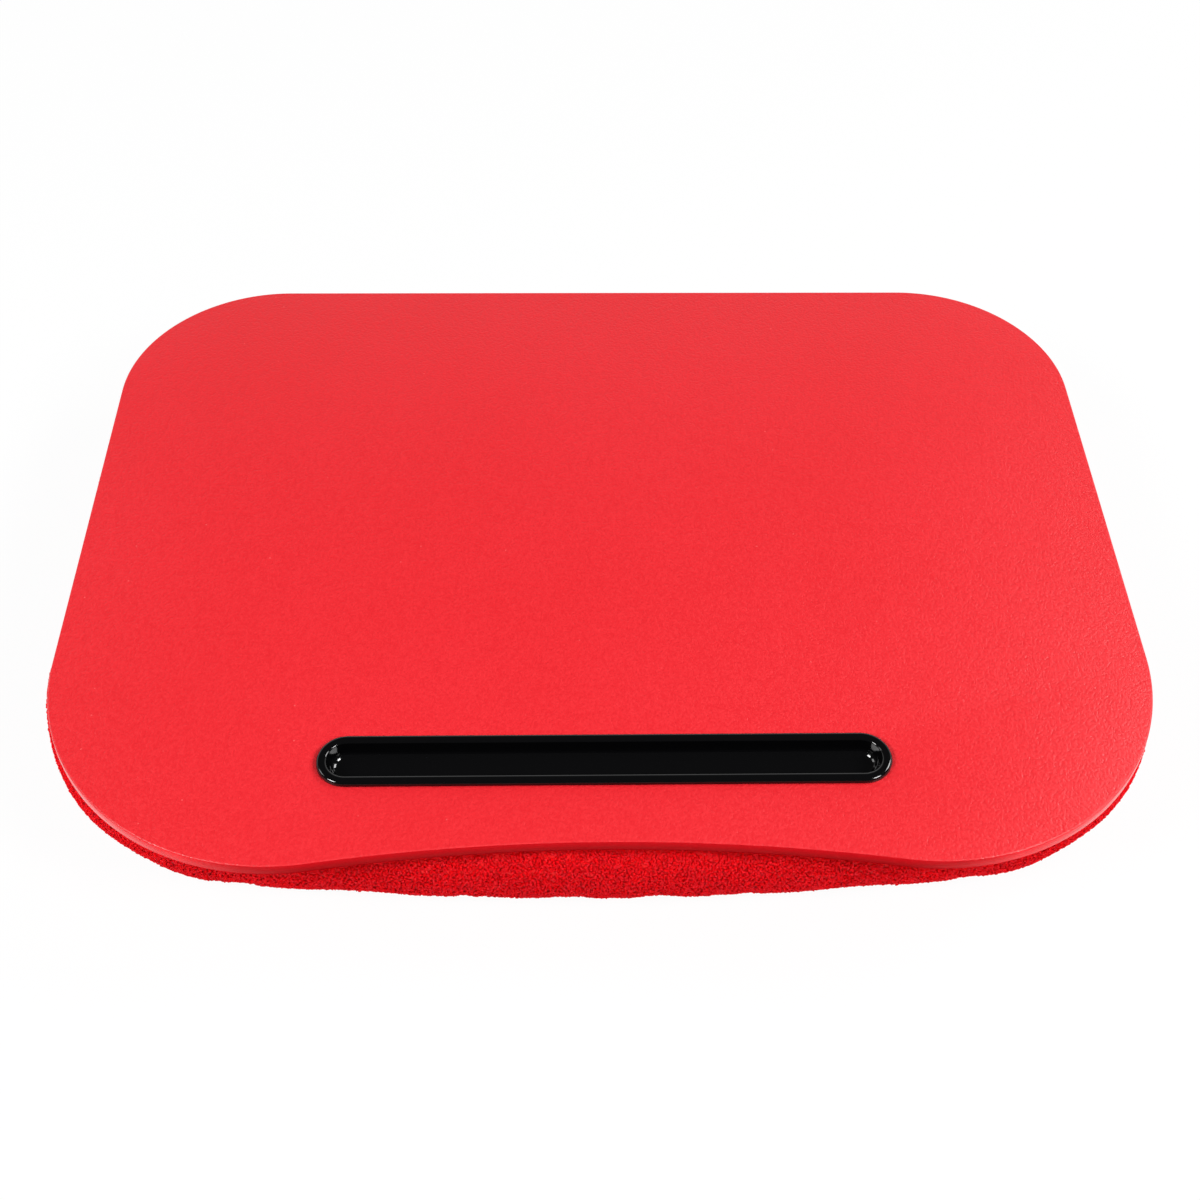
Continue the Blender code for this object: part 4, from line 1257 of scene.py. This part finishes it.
def bed_of(points, faces):
    """A smooth surface for tufts or beads to stand on."""
    mesh = mesh_of("bed", *part_of(points, faces))
    mesh.shade_smooth()
    return mesh


def make_pile(surface, points, finish, grow):
    """The standing pile, in two pieces for each side and four for the underside."""
    tufts = tuft_shapes()
    beds = []
    split = surface.nose_start - SIDE_PILE_ROWS
    bands = surface.bands(split, surface.seam_row)
    slot = {"Slot Half Length": SLOT_HALF_LENGTH - SLOT_HALF_HEIGHT, "Slot Level": NOSE_LEVEL}
    halves = ("right", "left"), ("back", "front"), ("left", "right"), ("front", "back")
    for side, names, index in zip(("back", "left", "front", "right"), halves, patch_sides()):
        clear = SLOT_HALF_HEIGHT + PILE_CLEAR_OF_SLOT if side == "back" else 0.0
        for half, chosen in zip(names, np.array_split(index[:-1], 2)):
            chosen = set(chosen.tolist())
            faces = [face for face in bands if face[0] % surface.columns in chosen]
            values = {**SIDE_PILE, **slot, "Slot Clear Radius": clear}
            beds.append((f"pile_{side}_{half}", faces, values))
    under = surface.bands(0, split) + surface.under_faces()
    middles = {face: points[list(face)].mean(axis=0) for face in under}
    for end, y_side in (("back", 1), ("front", -1)):
        for half, x_side in (("left", -1), ("right", 1)):
            faces = [f for f, at in middles.items() if at[0] * x_side > 0 and at[1] * y_side > 0]
            beds.append((f"pile_under_{end}_{half}", faces, UNDER_PILE))
    common = {"Tufts": tufts, "Finish": finish, "Lean": TUFT_LEAN, "Lowest": PILE_LOWEST}
    common["Highest"] = BOARD_LOW.z - PILE_BELOW_BOARD
    for name, faces, values in beds:
        pile = grown(name, bed_of(points, faces), grow, {**common, **values})
        placed(pile, "cushion", "red_plush")
    removed(*tufts.objects)
    bpy.data.collections.remove(tufts)


def slot_outline():
    """The zip's slot along X and up from its middle, as points and normals."""
    return stadium(2 * SLOT_HALF_LENGTH, 2 * SLOT_HALF_HEIGHT, SLOT_STEP)


def cut_slot(cover):
    """Cuts the zip's slot through the back of the cover."""
    rings = []
    for y in (BACK_CENTRE, CUSHION_BACK + SLOT_CUT_PAST):
        rings.append(np.array([(x, y, NOSE_LEVEL + z) for x, z in slot_outline()[0]]))
    cutter = lofted("slot_cutter", rings)
    cut = cover.modifiers.new("slot", "BOOLEAN")
    cut.operation = "DIFFERENCE"
    cut.solver = "EXACT"
    cut.object = cutter
    made_plain(cover)
    removed(cutter)


def make_cushion(surface, points, ground, panel_cloth):
    """The plush cover's ground cloth with the zip's slot, and the top panel sewn into it."""
    cover_faces = surface.bands(0, surface.seam_row) + surface.under_faces()
    cover = shell("plush_cover_cloth", points, cover_faces, COVER_CLOTH, ground)
    cut_slot(cover)
    placed(cover, "cushion", "red_plush", "plush_cover")
    panel_faces = surface.bands(surface.seam_row + 1, surface.rows - 1) + surface.top_faces()
    panel = shell("top_panel_cloth", points, panel_faces, COVER_CLOTH, panel_cloth)
    placed(panel, "cushion", "red_cloth", "cushion_top_panel")


def bag_surface(depth):
    """The cushion's surface at an even depth, and its points with the back drawn in behind the zip."""
    surface = CushionSurface(depth, depth, depth, depth)
    points = surface.points.copy()
    span = points[:, 1] - BACK_CENTRE
    reach = points[:, 1].max() - BACK_CENTRE
    limit = min(reach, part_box("bead_filling")[1].y - BACK_CENTRE)
    behind = span > 0
    points[behind, 1] = BACK_CENTRE + span[behind] * limit / reach
    return surface, points


def make_bead_bag(cloth, bead, scatter):
    """The inner bag in two panels, and its filling of beads."""
    bag, points = bag_surface(BAG_DEPTH)
    middle = bag.nose_start + NOSE_STEPS // 2
    raised = points.copy()
    raised[bag.row(middle), 2] += BAG_SEAM_GAP
    lower_faces = bag.bands(0, middle) + bag.under_faces()
    upper_faces = bag.bands(middle, bag.rows - 1) + bag.top_faces()
    for side, skin, faces in (("lower", points, lower_faces), ("upper", raised, upper_faces)):
        panel = shell(f"bead_bag_{side}", skin, faces, BAG_CLOTH, cloth)
        placed(panel, "cushion", "white_cloth", f"liner_{side}_panel")
    filling, points = bag_surface(BAG_DEPTH + BAG_CLOTH + BEAD_RADIUS + BEAD_GAP)
    core = solid("filling_core", points, filling.faces(), bead, outward=False)
    work = bmesh.new()
    bmesh.ops.create_icosphere(work, subdivisions=1, radius=BEAD_RADIUS)
    shape = link("bead_shape", closed_up(work, bpy.data.meshes.new("bead_shape")))
    values = {"Shape": shape, "Spacing": BEAD_SPACING, "Seed": BEAD_SEED, "Finish": bead}
    beads = grown("filling_beads", bed_of(points, filling.faces()), scatter, values)
    removed(shape)
    filled = joined_pieces("bead_filling_beads", [core, beads])
    placed(filled, "cushion", "white_beads", "bead_filling")


# Zip


def softened(node_name, name, width, finish, body, slot):
    """A copy of a node's mesh with its edges rounded off."""
    mesh = frame["nodes"][node_name].data.copy()
    mesh.materials.clear()
    work = bmesh.new()
    work.from_mesh(mesh)
    bmesh.ops.remove_doubles(work, verts=work.verts, dist=SAME_POINT)
    bmesh.ops.dissolve_limit(work, angle_limit=FLAT_ANGLE, verts=work.verts, edges=work.edges)
    piece = link(name, closed_up(work, mesh), finish)
    bevel = piece.modifiers.new("edges", "BEVEL")
    bevel.width = width
    bevel.segments = 2
    bevel.limit_method = "ANGLE"
    bevel.angle_limit = EDGE_ANGLE
    made_plain(piece)
    smooth(piece.data, 50)
    placed(piece, body, slot, node_name)


def make_tapes(finish):
    """Two woven tapes that follow the inside of the cover's back. Past the last tooth they draw in and
    leave room for the slider's post, and past the stops their tacked ends meet."""
    reach = SLOT_HALF_LENGTH + TAPE_TAIL
    first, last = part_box("zip_bottom_stop")[0].x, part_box("zip_top_stop_upper")[1].x
    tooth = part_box("zip_teeth_upper")[1].x
    spots = [first - TACK_REACH, first, tooth, tooth + TACK_REACH / 2, last, last + TACK_REACH]
    for side, name in ((1, "zip_tape_upper"), (-1, "zip_tape_lower")):
        low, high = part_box(name)
        outer = high.y - BACK_CENTRE
        edge, far = sorted(abs(z - NOSE_LEVEL) for z in (low.z, high.z))
        gaps = [TACK_GAP, edge, edge, POST_ROOM, POST_ROOM, TACK_GAP]
        rings = []
        for x in np.linspace(-reach, reach, TAPE_RINGS):
            start = math.asin(np.interp(x, spots, gaps) / outer)
            turns = np.linspace(start, math.asin(min(far / outer, 1)), 12)
            section = [(outer, a) for a in turns]
            section += [(outer - ZIP_TAPE_CLOTH, a) for a in turns[::-1]]
            section = [(r * math.cos(a), side * r * math.sin(a)) for r, a in section]
            rings.append(np.array([(x, BACK_CENTRE + y, NOSE_LEVEL + z) for y, z in section]))
        piece = lofted(f"{name}_cloth", rings, finish, angle=60)
        placed(piece, "cushion", "red_tape", name)


def on_back(line, depth, lift):
    """A line along X and up from the slot's middle, laid on the cushion's straight back: at a depth
    below its outside, and lifted off that."""
    radius = NOSE_RADIUS - depth
    out = [math.sqrt(max(radius * radius - z * z, 0)) for _, z in line]
    return np.array([(x, BACK_CENTRE + y + lift, NOSE_LEVEL + z) for (x, z), y in zip(line, out)])


def make_welt(ground, thread, stitching):
    """The cover's edge folded round the slot, and the row of stitches beside it."""
    closed = [np.concatenate([line, line[:1]]) for line in slot_outline()]
    edge, facing = respaced(*closed, step=WELT_STEP)
    depth = PILE_ROOM_SIDE - PUFF_LIMIT / 2 + COVER_CLOTH / 2
    rings = []
    for a in round_turns(WELT_SIDES):
        line = edge + facing * (WELT_RADIUS * math.cos(a) + WELT_RADIUS / 3)
        rings.append(on_back(line, depth, WELT_RADIUS * math.sin(a)))
    faces = band_faces(len(rings), len(edge), closed=True)
    welt = solid("slot_welt", np.concatenate(rings), faces, ground, angle=180)
    row = edge + facing * (PILE_CLEAR_OF_SLOT - SEAM_FROM_PILE)
    path = on_back(row, PILE_ROOM_SIDE - PUFF_LIMIT, THREAD_RADIUS)
    parts = [welt, stitched("slot", path, thread, stitching)]
    placed(joined_pieces("zip_slot_welt", parts), "cushion", "red_plush")


# Camera, lamps and floor


def make_camera():
    """The camera of the fitted view: turned, tipped down and slightly rolled."""
    data = bpy.data.cameras.new("camera")
    data.lens = CAMERA_LENS_MM
    data.sensor_width = CAMERA_SENSOR_MM
    data.clip_start = CAMERA_NEAREST
    camera = link("camera", data)
    ahead = Vector((math.sin(CAMERA_TURN), math.cos(CAMERA_TURN), 0)) * math.cos(CAMERA_DOWN)
    ahead.z = -math.sin(CAMERA_DOWN)
    level = Vector((math.cos(CAMERA_TURN), -math.sin(CAMERA_TURN), 0))
    down = ahead.cross(level)
    right = math.cos(CAMERA_ROLL) * level + math.sin(CAMERA_ROLL) * down
    lower = math.cos(CAMERA_ROLL) * down - math.sin(CAMERA_ROLL) * level
    turned = Matrix((right, -lower, -ahead)).transposed().to_4x4()
    turned.translation = Vector(CAMERA_PLACE)
    camera.matrix_world = turned
    bpy.context.scene.camera = camera


def softbox(name, place, size, power):
    """A square lamp that faces the object."""
    data = bpy.data.lights.new(name, "AREA")
    data.shape = "RECTANGLE"
    data.size, data.size_y = size
    data.energy = power
    lamp = link(name, data)
    lamp.location = place
    lamp.rotation_euler = (-Vector(place)).to_track_quat("-Z", "Y").to_euler()


def make_studio():
    """A white world that the camera sees, with a low white backdrop in a dim room to light the object,
    and softboxes at the sides."""
    world = bpy.data.worlds.new("studio")
    bpy.context.scene.world = world
    world.use_nodes = True
    tree = world.node_tree
    tree.nodes.clear()
    toward = node(tree, SPLIT, {0: node(tree, COORDINATES, {})["Generated"]})
    behind = {"Value": toward["Y"], 1: 0.1, 2: 0.5}
    behind = node(tree, MAP_RANGE, behind, interpolation_type="SMOOTHSTEP")[0]
    low = {"Value": toward["Z"], 1: 0.65, 2: 0.2}
    low = node(tree, MAP_RANGE, low, interpolation_type="SMOOTHSTEP")[0]
    share = node(tree, MATH, {0: behind, 1: low}, operation="MULTIPLY")[0]
    level = node(tree, MAP_RANGE, {"Value": share, 3: ROOM, 4: BACKDROP})[0]
    lit = node(tree, GLOW, {"Color": linear("FFFFFF"), "Strength": level})[0]
    shown = node(tree, GLOW, {"Color": linear("FFFFFF"), "Strength": 1.0})[0]
    direct = node(tree, RAYS, {})["Is Camera Ray"]
    mixed = node(tree, MIX_SHADER, {0: direct, 1: lit, 2: shown})[0]
    node(tree, "ShaderNodeOutputWorld", {"Surface": mixed})
    for name, (place, size, power) in SOFTBOXES.items():
        softbox(name, place, size, power)
    bpy.context.scene.view_settings.view_transform = "Standard"


def make_floor():
    """A white floor that keeps the object's shadow and fades into the white background."""
    finish = bpy.data.materials.new("white_floor")
    finish.use_nodes = True
    tree = finish.node_tree
    tree.nodes.clear()
    rays = node(tree, RAYS, {})
    seen = {0: rays["Is Camera Ray"], 1: rays["Is Transmission Ray"]}
    seen = node(tree, MATH, seen, operation="MAXIMUM")[0]
    place = node(tree, COORDINATES, {})["Object"]
    away = node(tree, VECTOR_MATH, {0: place}, operation="LENGTH")["Value"]
    start, end = FLOOR_FADE
    white = {"Value": away, 1: start, 2: end, 3: FLOOR_SHOWN, 4: 1.0}
    white = node(tree, MAP_RANGE, white, interpolation_type="SMOOTHSTEP")[0]
    seen = node(tree, MATH, {0: seen, 1: white}, operation="MULTIPLY")[0]
    mirrored = {0: rays["Is Glossy Ray"], 1: FLOOR_MIRRORED}
    mirrored = node(tree, MATH, mirrored, operation="MULTIPLY")[0]
    share = node(tree, MATH, {0: seen, 1: mirrored}, operation="MAXIMUM")[0]
    matte = node(tree, "ShaderNodeBsdfDiffuse", {"Color": linear("F4F4F4")})[0]
    glow = node(tree, "ShaderNodeEmission", {"Color": linear("FFFFFF"), "Strength": 1.0})[0]
    mixed = node(tree, MIX_SHADER, {0: share, 1: matte, 2: glow})[0]
    node(tree, "ShaderNodeOutputMaterial", {"Surface": mixed})
    sides = (-1, -1), (1, -1), (1, 1), (-1, 1)
    corners = [(x * FLOOR_REACH, y * FLOOR_REACH, 0) for x, y in sides]
    link("floor", mesh_of("floor", corners, [(0, 1, 2, 3)]), finish)


def main():
    make_camera()
    make_studio()
    make_floor()

    ground = plush_ground()
    scatter, stitching = scatter_group(), stitch_group()

    make_board(lacquer_top(), lacquer_edge())
    make_pen_tray(gloss_abs())
    tape_ground = tape_weave("nylon_hook_and_loop_ground", "141416", "050506", 0.7 * MM)
    make_hook_patches(tape_ground, nylon("nylon_monofilament", "1B1B1E", 0.35), repeat_group())
    loops = nylon("brushed_nylon_loop", "19191B", 0.8)
    bonded = nylon("bonded_thread", "0C0C0D", 0.5)
    make_loop_patches(tape_ground, loops, bonded, scatter, stitching)

    surface = CushionSurface(PILE_ROOM_UNDER, PILE_ROOM_SIDE, PILE_ROOM_SEAM, PANEL_DEPTH)
    points = puckered(surface, puffed(surface))
    panel_cloth = plain_weave("polyester_plain_weave", "A80E1B", "5E040C", 0.6 * MM)
    make_cushion(surface, points, ground, panel_cloth)
    make_pile(surface, points, plush_fibre(), pile_group())
    make_bead_bag(spunbond(), expanded_bead(), scatter)

    make_tapes(tape_weave("woven_zip_tape", "B0121F", "6A060F", 0.7 * MM))
    make_welt(ground, nylon("polyester_thread", "D01523", 0.6), stitching)
    acetal, nickel = moulded_acetal(), nickel_plate()
    for name in ("zip_teeth_upper", "zip_teeth_lower"):
        softened(name, f"{name}_moulded", 0.1 * MM, acetal, "cushion", "red_teeth")
    for name in ("zip_bottom_stop", "zip_top_stop_upper", "zip_top_stop_lower"):
        softened(name, f"{name}_crimped", 0.12 * MM, nickel, "cushion", "zinc")
    softened("zip_slider", "zip_slider_cast", 0.16 * MM, nickel, "zip_slider", "zinc")
    softened("zip_pull", "zip_pull_stamped", 0.14 * MM, nickel, "zip_pull", "zinc")


main()
